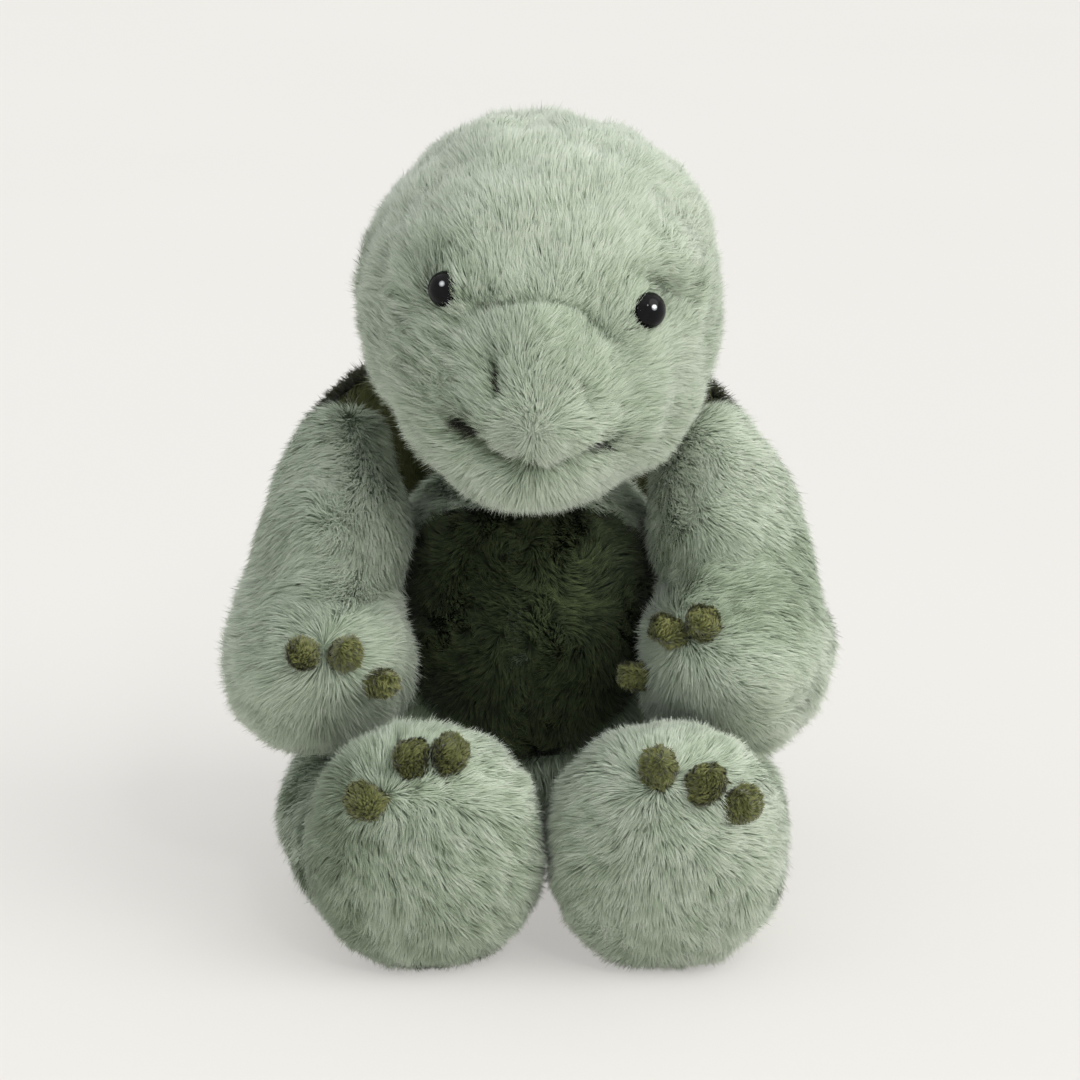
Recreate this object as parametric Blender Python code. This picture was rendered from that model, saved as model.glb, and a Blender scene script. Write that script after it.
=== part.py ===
"""Plush turtle, sitting up: sewn fur covers filled with fibre, and a bean bag in the seat.

It faces -Y and sits on z = 0. Left and right are the turtle's own, so its right side is at -X.
A cover's outer face is the face of its combed pile. Lengths are in metres, angles in degrees.
An exponent sets how square a rounded form is: 2 is an ellipse, and more is squarer.
"""

import functools
import math

import bmesh
import bpy
from mathutils import Matrix, Vector
from mathutils.bvhtree import BVHTree

# Sewing
SEAM_GAP = 0.0003
WELD_SHARE = 0.1
PILE_DEPTH = 0.0075
PANEL_DEPTH = 0.003
REST_CUT = 0.0005
SLIT_WIDTH = 0.0006
SLIT_LENGTH = 0.020
OVERRUN = 0.02

# Body
BODY_HEIGHT = 0.157
BODY_HALF_WIDTH = 0.063
BODY_HALF_DEPTH = 0.054
BODY_EXPONENT = 2.5
BODY_TAPER_SHARE = 0.10
BODY_LEAN_SHARE = 0.80
SEAT_BACK = 0.042
BELLY_FORWARD = 0.018
CHEST_FORWARD = 0.022

# Belly panel, as seen from the front
PANEL_HALF_WIDTH = 0.047
PANEL_TOP_DROP = 0.011
PANEL_BOTTOM = 0.052
PANEL_EXPONENT = 2.8
PANEL_NARROWING_SHARE = 0.45

# Shell on the back
SHELL_HALF_WIDTH = 0.093
SHELL_HALF_HEIGHT = 0.080
SHELL_FRONT_DEPTH = 0.014
SHELL_BACK_DEPTH = 0.047
SHELL_BACK = 0.063
SHELL_BOTTOM = 0.0275
SHELL_EXPONENT = 2.9
SHELL_DOME_EXPONENT = 2.1

# Neck and head
NECK_BACK = 0.014
NOD_RISE = 0.011
NECK_BALL_RADIUS = 0.026
NECK_STEM_RADIUS = 0.017
NECK_PLAY = 0.0005
NECK_LENGTH = 0.036
HEAD_HALF_WIDTH = 0.0655
HEAD_HALF_DEPTH = 0.0660
HEAD_HALF_HEIGHT = 0.0640
HEAD_FORWARD = 0.026
HEAD_RISE = 0.0540
HEAD_LEAN = 6.0
HEAD_EXPONENT = 2.25

# Muzzle, cheeks, brows and chin: swellings of the head, by bearing and pitch from its centre
MUZZLE_REACH = 0.0170
MUZZLE_PITCH = -23.0
MUZZLE_SPREAD = 31.0
CHEEK_SWELL = 0.0045
CHEEK_BEARING = 42.0
CHEEK_PITCH = -31.0
CHEEK_SPREAD = 19.0
BROW_SWELL = 0.0035
BROW_BEARING = 33.0
BROW_PITCH = 27.0
BROW_SPREAD = 14.0
CHIN_SWELL = 0.0090
CHIN_PITCH = -52.0
CHIN_SPREAD = 20.0

# Mouth seam: it runs round the muzzle and turns up a little at its ends
MOUTH_DROP = 0.0435
MOUTH_SMILE = 0.0078
MOUTH_HALF_WIDTH = 0.0262
CHIN_DEPTH = 0.052

# Eyes: a gloss dome on a shank that a washer holds inside the head
EYE_RADIUS = 0.0062
EYE_DOME_HEIGHT = 0.0046
EYE_BEARING = 31.0
EYE_PITCH = 8.6
EYE_SEAT_DEPTH = 0.0022
SHANK_RADIUS = 0.0022
SHANK_SPARE = 0.0045
WASHER_RADIUS = 0.0085
WASHER_THICKNESS = 0.0012

# Arms
SHOULDER_DROP = 0.0140
SHOULDER_BACK = 0.014
WRIST_OUT = 0.0235
WRIST_FORWARD = 0.0310
WRIST_DROP = 0.0285
PAW_OUT = 0.0098
PAW_FORWARD = 0.0710
PAW_DROP = 0.0738
PAW_SHARE = 0.78
ARM_ROOT_RADIUS = 0.0235
ARM_END_RADIUS = 0.0440
ARM_EXPONENT = 2.6
ARM_PEAR_EXPONENT = 1.3
WRIST_SHARE = 0.50
WRIST_SPREAD_SHARE = 0.10
WRIST_TUCK_SHARE = 0.10
ARM_SLIT_SHARE = 0.35
ARM_RINGS = 11
ARM_SIDES = 18

# Legs and feet
HIP_OUT = 0.0560
HIP_BACK = 0.0
THIGH_HALF_WIDTH = 0.0375
THIGH_RADIUS = 0.0300
THIGH_EXPONENT = 2.5
LEG_OFFSET = 0.0015
FOOT_OFFSET = 0.0066
FOOT_OUT = 0.0414
FOOT_FORWARD = 0.0855
FOOT_HALF_WIDTH = 0.0410
FOOT_HALF_HEIGHT = 0.0437
SOLE_DEPTH = 0.0245
HEEL_DEPTH = 0.0300
FOOT_EXPONENT = 2.1
FOOT_ROUND_EXPONENT = 2.15
CROTCH_HALF_WIDTH = 0.0095

# Tail
TAIL_LENGTH = 0.034
TAIL_ROOT_LENGTH = 0.020
TAIL_RADIUS = 0.0125
TAIL_FLATNESS_SHARE = 0.85
TAIL_TAPER_SHARE = 0.30
TAIL_EXPONENT = 2.2
TAIL_DROP = 0.0105
TAIL_TILT = 12.0

# Claws: bearing from straight ahead towards the turtle's left, and pitch, from the paw's or foot's centre
CLAW_RADIUS = 0.0056
CLAW_LENGTH = 0.0125
CLAW_PROUD = 0.0070
CLAW_EXPONENT = 2.1
PAW_CLAWS = {
    "right": ((-7.0, 31.5), (22.0, 30.5), (44.5, 9.5)),
    "left": ((-30.0, 47.5), (-58.0, 37.0), (-84.0, 2.0)),
}
FOOT_CLAWS = {
    "right": ((-47.0, 41.0), (-15.0, 69.0), (36.0, 68.0)),
    "left": ((57.0, 36.0), (36.0, 54.0), (-13.0, 65.5)),
}
CLAW_NAMES = ("outer", "middle", "inner")

# Fillings
BEAN_BAG_HALF_WIDTH = 0.034
BEAN_BAG_HALF_DEPTH = 0.024
BEAN_BAG_HEIGHT = 0.040
BEAN_BAG_BACK = 0.016
BEAN_BAG_EXPONENT = 2.6

SIDES = {"right": -1.0, "left": 1.0}

FUR_COLOUR = (0.43, 0.52, 0.40, 1.0)
BELLY_COLOUR = (0.035, 0.055, 0.022, 1.0)
SHELL_COLOUR = (0.050, 0.062, 0.018, 1.0)
CLAW_COLOUR = (0.16, 0.17, 0.055, 1.0)
EYE_COLOUR = (0.004, 0.004, 0.004, 1.0)
WASHER_COLOUR = (0.80, 0.80, 0.78, 1.0)
FIBRE_COLOUR = (0.86, 0.86, 0.84, 1.0)
BEAN_BAG_COLOUR = (0.70, 0.68, 0.60, 1.0)


def clear_scene():
    for old in list(bpy.data.objects):
        bpy.data.objects.remove(old, do_unlink=True)


def principled(name, colour, roughness):
    made = bpy.data.materials.new(name)
    made.use_nodes = True
    shader = made.node_tree.nodes["Principled BSDF"]
    shader.inputs["Base Color"].default_value = colour
    shader.inputs["Roughness"].default_value = roughness
    shader.inputs["Metallic"].default_value = 0.0
    return made


def bump(angle, spread):
    """A rounded swelling: 1 at its middle, falling to nothing past its spread."""
    return math.exp(-((angle / spread) ** 2))


def toward(bearing, pitch):
    """Unit direction: bearing from straight ahead (-Y) towards +X, pitch above level."""
    b, p = math.radians(bearing), math.radians(pitch)
    return Vector((math.sin(b) * math.cos(p), -math.cos(b) * math.cos(p), math.sin(p)))


def swell(share, exponent):
    """Half-width of a stuffed tube at a share of its length: 0 at the ends and 1 halfway."""
    return max(0.0, 1.0 - abs(2.0 * share - 1.0) ** exponent) ** (1.0 / exponent)


def lofted(centre_at, radii_at, rings, sides, squareness=2.0, base_shares=()):
    """A closed tube of rings along centre_at(share), with radii_at(share) = (sideways, other way)."""
    bm = bmesh.new()
    step = 0.5 / rings
    loops = []
    shares = [0.5 - 0.5 * math.cos(math.pi * ring / rings) for ring in range(1, rings)]
    for share in [*base_shares, *shares]:
        centre = centre_at(share)
        along = (centre_at(min(1.0, share + step)) - centre_at(max(0.0, share - step))).normalized()
        sideways = Vector((1.0, 0.0, 0.0))
        sideways = (sideways - along * sideways.dot(along)).normalized()
        other = along.cross(sideways)
        wide, deep = radii_at(share)
        loop = []
        for side in range(sides):
            turn = 2.0 * math.pi * side / sides
            u, v = math.cos(turn), math.sin(turn)
            reach = (abs(u) ** squareness + abs(v) ** squareness) ** (-1.0 / squareness)
            offset = sideways * (wide * u * reach) + other * (deep * v * reach)
            loop.append(bm.verts.new(centre + offset))
        loops.append(loop)
    first, last = bm.verts.new(centre_at(0.0)), bm.verts.new(centre_at(1.0))
    for side in range(sides):
        after = (side + 1) % sides
        bm.faces.new((first, loops[0][after], loops[0][side]))
        bm.faces.new((last, loops[-1][side], loops[-1][after]))
        for low, high in zip(loops, loops[1:]):
            bm.faces.new((low[side], low[after], high[after], high[side]))
    bmesh.ops.recalc_face_normals(bm, faces=bm.faces)
    return bm


def ball(radius_at, detail):
    """A closed form round the origin, whose distance in each direction is radius_at(direction)."""
    bm = bmesh.new()
    bmesh.ops.create_icosphere(bm, subdivisions=detail, radius=1.0)
    for vert in bm.verts:
        direction = vert.co.normalized()
        vert.co = direction * radius_at(direction)
    bmesh.ops.recalc_face_normals(bm, faces=bm.faces)
    return bm


def egg(direction, half_sizes, exponent):
    """Distance from the centre to a rounded box of these half sizes, (X, Y, Z)."""
    total = sum(abs(part / half) ** exponent for part, half in zip(direction, half_sizes))
    return total ** (-1.0 / exponent)


def turned(profile, steps):
    """A solid of revolution about Z from (radius, height) points, from the foot up to the top."""
    bm = bmesh.new()
    verts = [bm.verts.new((radius, 0.0, height)) for radius, height in profile]
    edges = [bm.edges.new(pair) for pair in zip(verts, verts[1:])]
    bmesh.ops.spin(bm, geom=verts + edges, axis=(0.0, 0.0, 1.0), cent=(0.0, 0.0, 0.0),
                   steps=steps, angle=2.0 * math.pi, use_merge=True)
    bmesh.ops.remove_doubles(bm, verts=bm.verts, dist=SEAM_GAP * WELD_SHARE)
    bmesh.ops.recalc_face_normals(bm, faces=bm.faces)
    return bm


def grown(bm, distance):
    """Moves a form's faces out along their normals, or in where the distance is negative."""
    bm.normal_update()
    moves = [vert.normal * (distance * vert.calc_shell_factor()) for vert in bm.verts]
    for vert, move in zip(bm.verts, moves):
        vert.co += move
    return bm


def rested(bm, height=0.0):
    """Cuts a form flat on the ground, where its own weight presses it, or at a height above."""
    split = bmesh.ops.bisect_plane(bm, geom=bm.verts[:] + bm.edges[:] + bm.faces[:], clear_outer=True,
                                   plane_co=(0.0, 0.0, height), plane_no=(0.0, 0.0, -1.0))
    rim = [edge for edge in split["geom_cut"] if isinstance(edge, bmesh.types.BMEdge)]
    bmesh.ops.contextual_create(bm, geom=rim)
    bmesh.ops.recalc_face_normals(bm, faces=bm.faces)
    return bm


def placed(bm, matrix):
    bmesh.ops.transform(bm, matrix=matrix, verts=bm.verts)
    return bm


def block(low, high):
    bm = bmesh.new()
    bmesh.ops.create_cube(bm, size=1.0)
    size = high - low
    bmesh.ops.scale(bm, vec=size, verts=bm.verts)
    bmesh.ops.translate(bm, vec=(low + high) / 2.0, verts=bm.verts)
    return bm


def extruded(outline, near, far, to_world):
    """A prism on a closed outline of (u, v) points; to_world(u, v, depth) places each corner."""
    bm = bmesh.new()
    front = [bm.verts.new(to_world(u, v, near)) for u, v in outline]
    back = [bm.verts.new(to_world(u, v, far)) for u, v in outline]
    bm.faces.new(front)
    bm.faces.new(list(reversed(back)))
    for i in range(len(outline)):
        after = (i + 1) % len(outline)
        bm.faces.new((front[i], back[i], back[after], front[after]))
    bmesh.ops.recalc_face_normals(bm, faces=bm.faces)
    return bm


def solid(name, bm, material, pivot=None):
    """An object of this name. Its origin is the pivot, where it has one; bm is in the turtle's frame."""
    origin = pivot or Vector((0.0, 0.0, 0.0))
    bmesh.ops.translate(bm, vec=-origin, verts=bm.verts)
    mesh = bpy.data.meshes.new(name)
    bm.to_mesh(mesh)
    bm.free()
    mesh.materials.append(material)
    mesh.shade_smooth()
    made = bpy.data.objects.new(name, mesh)
    made.location = origin
    bpy.context.scene.collection.objects.link(made)
    return made


def cutter(name, bm):
    """A helper that is not a piece of the turtle."""
    mesh = bpy.data.meshes.new(name)
    bm.to_mesh(mesh)
    bm.free()
    made = bpy.data.objects.new(name, mesh)
    bpy.context.scene.collection.objects.link(made)
    made.hide_render = True
    made.display_type = "WIRE"
    return made


def boolean(target, tool, operation):
    step = target.modifiers.new(operation.lower() + "_" + tool.name, "BOOLEAN")
    step.operation = operation
    step.solver = "EXACT"
    step.object = tool


def cut(target, *tools):
    for tool in tools:
        boolean(target, tool, "DIFFERENCE")


def keep_inside(target, tool):
    boolean(target, tool, "INTERSECT")


def clearance(form, carrier):
    """The narrowest gap between a form and what carries it."""
    tree = BVHTree.FromBMesh(carrier)
    return min(tree.find_nearest(vert.co)[3] for vert in form.verts)


def surface_point(centre, direction, carrier):
    """Where a ray from inside the carrier leaves it, and the outward normal there."""
    tree = BVHTree.FromBMesh(carrier)
    spot, normal, _, _ = tree.ray_cast(centre, direction)
    return spot, normal if normal.dot(direction) > 0.0 else -normal


def body_centre(share):
    height = BODY_HEIGHT * share - REST_CUT
    lean = BELLY_FORWARD * math.sin(math.pi / 2.0 * min(1.0, share / BODY_LEAN_SHARE))
    return Vector((0.0, SEAT_BACK - lean - (CHEST_FORWARD - BELLY_FORWARD) * share, height))


def body_radii(share):
    swollen = swell(share, BODY_EXPONENT)
    taper = 1.0 + BODY_TAPER_SHARE * (1.0 - 2.0 * share)
    return BODY_HALF_WIDTH * swollen * taper, BODY_HALF_DEPTH * swollen * (0.5 + 0.5 * taper)


def body_form(rings=12, sides=24):
    """The body, with a ring close above the ground, where it is cut flat."""
    return lofted(body_centre, body_radii, rings, sides, base_shares=((REST_CUT + SEAM_GAP) / BODY_HEIGHT,))


def panel_outline(margin):
    """The belly panel's outline: square-shouldered at the top and drawn to a point at the crotch."""
    points = []
    steps = 28
    top = BODY_HEIGHT - PANEL_TOP_DROP
    middle = (top + PANEL_BOTTOM) / 2.0
    half_height = (top - PANEL_BOTTOM) / 2.0
    for step in range(steps):
        turn = 2.0 * math.pi * step / steps
        u, v = math.cos(turn), math.sin(turn)
        reach = (abs(u) ** PANEL_EXPONENT + abs(v) ** PANEL_EXPONENT) ** (-1.0 / PANEL_EXPONENT)
        narrowing = 1.0 - PANEL_NARROWING_SHARE * max(0.0, -v * reach) ** 2
        points.append(((PANEL_HALF_WIDTH + margin) * u * reach * narrowing,
                       middle + (half_height + margin) * v * reach))
    return points


def panel_prism(margin):
    return extruded(panel_outline(margin), -BODY_HALF_DEPTH - OVERRUN, SEAT_BACK - OVERRUN,
                    lambda u, v, depth: Vector((u, depth, v)))


def shell_middle():
    return Vector((0.0, SHELL_BACK, SHELL_BOTTOM + SHELL_HALF_HEIGHT))


def shell_form(rings=10, sides=24):
    """A domed pad with a full rim, laid on the back: flat-bellied in front, swelling behind."""
    depth = SHELL_FRONT_DEPTH + SHELL_BACK_DEPTH

    def centre(share):
        return shell_middle() + Vector((0.0, depth * share - SHELL_FRONT_DEPTH, 0.0))

    def radii(share):
        reach = depth * share - SHELL_FRONT_DEPTH
        part = abs(reach) / (SHELL_BACK_DEPTH if reach > 0.0 else SHELL_FRONT_DEPTH)
        swollen = max(0.0, 1.0 - part**SHELL_DOME_EXPONENT) ** (1.0 / SHELL_DOME_EXPONENT)
        return SHELL_HALF_WIDTH * swollen, SHELL_HALF_HEIGHT * swollen

    return lofted(centre, radii, rings, sides, SHELL_EXPONENT)


def neck_pivot():
    return Vector((0.0, NECK_BACK, BODY_HEIGHT + NOD_RISE))


def neck_arc(radius, start, steps=9):
    """Points round the neck's ball from an angle below level up to its top."""
    angles = [start + (math.pi / 2.0 - start) * step / steps for step in range(steps)]
    return [(radius * math.cos(angle), radius * math.sin(angle)) for angle in angles] + [(0.0, radius)]


def neck_form(margin=0.0, sides=24):
    """The stuffed neck: a stem under a ball that the head nods on."""
    stem, radius = NECK_STEM_RADIUS + margin, NECK_BALL_RADIUS + margin
    profile = [(0.0, -NECK_LENGTH - margin), (stem, -NECK_LENGTH - margin)]
    profile += neck_arc(radius, -math.acos(stem / radius))
    return placed(turned(profile, sides), Matrix.Translation(neck_pivot()))


def neck_room(sides=24):
    """The head's round socket."""
    radius = NECK_BALL_RADIUS + NECK_PLAY
    profile = [(0.0, -radius)] + neck_arc(radius, -math.pi / 2.0, 18)[1:]
    return placed(turned(profile, sides), Matrix.Translation(neck_pivot()))


def head_matrix():
    lean = Matrix.Rotation(math.radians(HEAD_LEAN), 4, "Y")
    return Matrix.Translation(neck_pivot()) @ lean @ Matrix.Translation((0.0, -HEAD_FORWARD, HEAD_RISE))


def head_distance(direction):
    """The head as seen from its centre: an egg with the muzzle, cheeks, brows and chin swelling out."""
    reach = egg(direction, (HEAD_HALF_WIDTH, HEAD_HALF_DEPTH, HEAD_HALF_HEIGHT), HEAD_EXPONENT)
    lobes = [(0.0, MUZZLE_PITCH, MUZZLE_SPREAD, MUZZLE_REACH), (0.0, CHIN_PITCH, CHIN_SPREAD, CHIN_SWELL)]
    for side in SIDES.values():
        lobes.append((side * CHEEK_BEARING, CHEEK_PITCH, CHEEK_SPREAD, CHEEK_SWELL))
        lobes.append((side * BROW_BEARING, BROW_PITCH, BROW_SPREAD, BROW_SWELL))
    for bearing, pitch, spread, height in lobes:
        angle = math.degrees(direction.angle(toward(bearing, pitch)))
        reach += height * bump(angle, spread)
    return reach


def head_form(detail=4):
    return placed(ball(head_distance, detail), head_matrix())


def chin_prism(margin):
    """What lies under the mouth seam: a block whose top follows the smile, in the head's frame."""
    steps = 10
    low = -HEAD_HALF_HEIGHT - OVERRUN
    width = MOUTH_HALF_WIDTH + margin
    outline = [(width, low), (-width, low)]
    for step in range(steps + 1):
        u = -1.0 + 2.0 * step / steps
        outline.append((u * width, -MOUTH_DROP + MOUTH_SMILE * u * u + margin))
    front = -HEAD_HALF_DEPTH - MUZZLE_REACH - OVERRUN
    back = -HEAD_HALF_DEPTH - MUZZLE_REACH + CHIN_DEPTH + margin
    return placed(extruded(outline, front, back, lambda u, v, depth: Vector((u, depth, v))), head_matrix())


def eye_axis(side):
    """The eye's seat on the head's face, and the direction that it looks: square off the face."""
    head = head_form()
    turn = head_matrix().to_3x3()
    aim = (turn @ toward(side * EYE_BEARING, EYE_PITCH)).normalized()
    spot, normal = surface_point(head_matrix().translation, aim, head)
    head.free()
    return spot, normal


def along(direction, origin):
    """Matrix that sets a part turned about Z on this axis."""
    return Matrix.Translation(origin) @ direction.to_track_quat("Z", "Y").to_matrix().to_4x4()


def eye_form(spot, aim, margin=0.0, arc=4, steps=16):
    """The eye: a dome on a flat back, with a shank behind it."""
    shank = -PILE_DEPTH - WASHER_THICKNESS - SHANK_SPARE
    points = [(0.0, shank - margin), (SHANK_RADIUS + margin, shank - margin)]
    points.append((SHANK_RADIUS + margin, -EYE_SEAT_DEPTH - margin))
    for step in range(arc + 1):
        angle = math.pi / 2.0 * step / arc
        points.append(((EYE_RADIUS + margin) * math.cos(angle),
                       -EYE_SEAT_DEPTH + margin + EYE_DOME_HEIGHT * math.sin(angle)))
    points.insert(3, (EYE_RADIUS + margin, -EYE_SEAT_DEPTH - margin))
    points[-1] = (0.0, points[-1][1])
    return placed(turned(points, steps), along(aim, spot))


def washer_form(spot, aim):
    """A ring that slides over the shank and clamps the fabric from inside."""
    bore = SHANK_RADIUS + SEAM_GAP
    top = -PILE_DEPTH
    low = top - WASHER_THICKNESS
    bm = bmesh.new()
    section = ((bore, low), (WASHER_RADIUS, low), (WASHER_RADIUS, top), (bore, top))
    corners = [bm.verts.new((radius, 0.0, height)) for radius, height in section]
    edges = [bm.edges.new((corners[i - 1], corners[i])) for i in range(len(corners))]
    bmesh.ops.spin(bm, geom=corners + edges, axis=(0.0, 0.0, 1.0), cent=(0.0, 0.0, 0.0),
                   steps=16, angle=2.0 * math.pi, use_merge=True)
    bmesh.ops.remove_doubles(bm, verts=bm.verts, dist=SEAM_GAP * WELD_SHARE)
    bmesh.ops.recalc_face_normals(bm, faces=bm.faces)
    return placed(bm, along(aim, spot))


def washer_room(spot, aim):
    """The flat seat that the washer presses into the cover from inside, and its place in the filling."""
    low = -PILE_DEPTH - WASHER_THICKNESS - SEAM_GAP
    return placed(disc(WASHER_RADIUS + SEAM_GAP, low, SEAM_GAP - PILE_DEPTH), along(aim, spot))


def disc(radius, low, high, steps=16):
    return turned([(0.0, low), (radius, low), (radius, high), (0.0, high)], steps)


def arm_path(side, root):
    """The arm's middle line: down from the top of the shoulder, out at the wrist, forward to the paw."""
    start = root + Vector((0.0, 0.0, ARM_ROOT_RADIUS))
    bend = root + Vector((side * WRIST_OUT, -WRIST_FORWARD, -WRIST_DROP))
    end = root + Vector((side * PAW_OUT, -PAW_FORWARD, -PAW_DROP))

    def centre(share):
        rest = 1.0 - share
        return start * (rest * rest) + bend * (2.0 * rest * share) + end * (share * share)

    return centre


def arm_radii(share):
    radius = ARM_ROOT_RADIUS + (ARM_END_RADIUS - ARM_ROOT_RADIUS) * share**ARM_PEAR_EXPONENT
    tuck = 1.0 - WRIST_TUCK_SHARE * bump(share - WRIST_SHARE, WRIST_SPREAD_SHARE)
    radius *= swell(share, ARM_EXPONENT) * tuck
    return radius, radius


@functools.cache
def shoulder_pivot(side):
    """The shoulder's centre: the arm hangs there with a seam's gap to the body's flank."""
    body = body_form()
    root = Vector((side * (BODY_HALF_WIDTH + ARM_ROOT_RADIUS), SHOULDER_BACK, BODY_HEIGHT - SHOULDER_DROP))
    for _ in range(8):
        arm = lofted(arm_path(side, root), arm_radii, ARM_RINGS, ARM_SIDES)
        root.x -= side * (clearance(arm, body) - SEAM_GAP)
        arm.free()
    body.free()
    return root


def arm_centre(side):
    return arm_path(side, shoulder_pivot(side))


def arm_form(side, rings=ARM_RINGS, sides=ARM_SIDES):
    return lofted(arm_centre(side), arm_radii, rings, sides)


def paw_centre(side):
    return arm_centre(side)(PAW_SHARE)


def hip_pivot(side):
    return Vector((side * HIP_OUT + LEG_OFFSET, HIP_BACK, THIGH_RADIUS - REST_CUT))


def leg_form(side, rings=10, sides=20):
    """The thigh: round about the hip's axis behind, and drawn in a little towards the foot."""
    hip = hip_pivot(side)
    ankle = foot_centre(side)

    def centre(share):
        reach = -THIGH_RADIUS + (THIGH_RADIUS + FOOT_FORWARD) * share
        inward = (ankle.x - hip.x) * (max(0.0, reach) / FOOT_FORWARD) ** 2
        return Vector((hip.x + inward, hip.y - reach, hip.z))

    def radii(share):
        swollen = swell(share, THIGH_EXPONENT)
        return THIGH_HALF_WIDTH * swollen, THIGH_RADIUS * swollen

    return lofted(centre, radii, rings, sides)


def foot_centre(side):
    return Vector((side * FOOT_OUT + FOOT_OFFSET, -FOOT_FORWARD, FOOT_HALF_HEIGHT - REST_CUT))


def foot_form(side, rings=10, sides=20):
    """A fat disc set on edge, its sole to the front."""
    middle = foot_centre(side)
    depth = SOLE_DEPTH + HEEL_DEPTH

    def centre(share):
        return Vector((middle.x, middle.y + HEEL_DEPTH - depth * share, middle.z))

    def radii(share):
        reach = HEEL_DEPTH - depth * share
        part = abs(reach) / (HEEL_DEPTH if reach > 0.0 else SOLE_DEPTH)
        swollen = max(0.0, 1.0 - part**FOOT_EXPONENT) ** (1.0 / FOOT_EXPONENT)
        return FOOT_HALF_WIDTH * swollen, FOOT_HALF_HEIGHT * swollen

    return lofted(centre, radii, rings, sides, FOOT_ROUND_EXPONENT)


def lap_outline(margin):
    """The room that a thigh takes as it swings down from the seat: half round behind, open to the front."""
    hip = hip_pivot(1.0)
    radius = THIGH_RADIUS + margin
    front = hip.y - BODY_HALF_DEPTH - OVERRUN
    steps = 12
    outline = [(front, -OVERRUN), (hip.y + radius, -OVERRUN)]
    for step in range(steps + 1):
        angle = math.pi / 2.0 * step / steps
        outline.append((hip.y + radius * math.cos(angle), hip.z + radius * math.sin(angle)))
    outline.append((front, hip.z + radius))
    return outline


def lap_prism(margin, near, far):
    return extruded(lap_outline(margin), near, far, lambda u, v, depth: Vector((depth, u, v)))


def tail_form(rings=8, sides=14):
    """A short stub whose root is sewn into the body's back."""
    tilt = math.radians(TAIL_TILT)
    aim = Vector((0.0, math.cos(tilt), math.sin(tilt)))
    root = Vector((0.0, SEAT_BACK + BODY_HALF_DEPTH - TAIL_ROOT_LENGTH, SHELL_BOTTOM - TAIL_DROP))

    def centre(share):
        return root + aim * (share * (TAIL_ROOT_LENGTH + TAIL_LENGTH) - TAIL_ROOT_LENGTH)

    def radii(share):
        radius = TAIL_RADIUS * swell(share, TAIL_EXPONENT) * (1.0 + TAIL_TAPER_SHARE * (1.0 - 2.0 * share))
        return radius, radius * TAIL_FLATNESS_SHARE

    return lofted(centre, radii, rings, sides)


def claw_form(spot, aim, detail=2):
    """A stuffed nub, longer than it is wide, standing out of the pile."""
    def distance(direction):
        return egg(direction, (CLAW_RADIUS, CLAW_RADIUS, CLAW_LENGTH / 2.0), CLAW_EXPONENT)

    return placed(ball(distance, detail), along(aim, spot + aim * (CLAW_PROUD - CLAW_LENGTH / 2.0)))


def bean_bag_form(rings=8, sides=16):
    """A flat bag of plastic beads that weights the seat."""
    def centre(share):
        return Vector((0.0, SEAT_BACK + BEAN_BAG_BACK, BEAN_BAG_HEIGHT * share))

    def radii(share):
        swollen = swell(share, BEAN_BAG_EXPONENT)
        return BEAN_BAG_HALF_WIDTH * swollen, BEAN_BAG_HALF_DEPTH * swollen

    return lofted(centre, radii, rings, sides)


def slit(name, inside, reach, width, height):
    """The short seam left open behind for stuffing, which a ladder stitch closes."""
    half = Vector((width / 2.0, 0.0, height / 2.0))
    return cutter("slit_" + name, block(inside - half, inside + half + Vector((0.0, reach, 0.0))))


def filled(name, cover, form, material, pivot, *rooms):
    """Hollows a cover out and sets its filling inside, clear of every room that others take."""
    cut(cover, cutter("hollow_" + name, grown(form(), -PILE_DEPTH)))
    filling = solid(name + "_stuffing", grown(form(), -PILE_DEPTH - SEAM_GAP), material, pivot)
    cut(filling, *rooms)
    return filling


def make_torso(fur, belly_fur, fibre, bag_cloth, neck_socket):
    body = solid("body_cover", rested(body_form()), fur)
    hollow = cutter("body_hollow", rested(grown(body_form(9, 16), -PILE_DEPTH), PILE_DEPTH))
    far = BODY_HALF_WIDTH + OVERRUN
    cut(hollow, cutter("lap_wall", lap_prism(PILE_DEPTH, -far, far)))
    laps = []
    for name, side in SIDES.items():
        inner = side * CROTCH_HALF_WIDTH + (LEG_OFFSET + FOOT_OFFSET) / 2.0
        laps.append(cutter("lap_" + name, lap_prism(SEAM_GAP, inner, side * far)))
    pocket = cutter("panel_pocket", panel_prism(SEAM_GAP))
    cut(pocket, cutter("pocket_lining", grown(body_form(), -PANEL_DEPTH - SEAM_GAP)))
    cut(body, *laps, hollow, pocket, neck_socket)

    panel = solid("belly_panel", body_form(), belly_fur)
    keep_inside(panel, cutter("panel_shape", panel_prism(0.0)))
    cut(panel, neck_socket, *laps, cutter("panel_lining", grown(body_form(), -PANEL_DEPTH)))

    inset = PILE_DEPTH + SEAM_GAP
    lap_wall = cutter("lap_filling_wall", lap_prism(inset, -far, far))
    bag = solid("bean_bag", rested(bean_bag_form(), inset), bag_cloth)
    keep_inside(bag, cutter("bean_bag_room", grown(body_form(9, 16), -inset)))
    cut(bag, lap_wall)
    filling = solid("body_stuffing", rested(grown(body_form(9, 16), -inset), inset), fibre)
    cut(filling, lap_wall, cutter("bean_bag_round", grown(bean_bag_form(), SEAM_GAP)), neck_socket)


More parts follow.
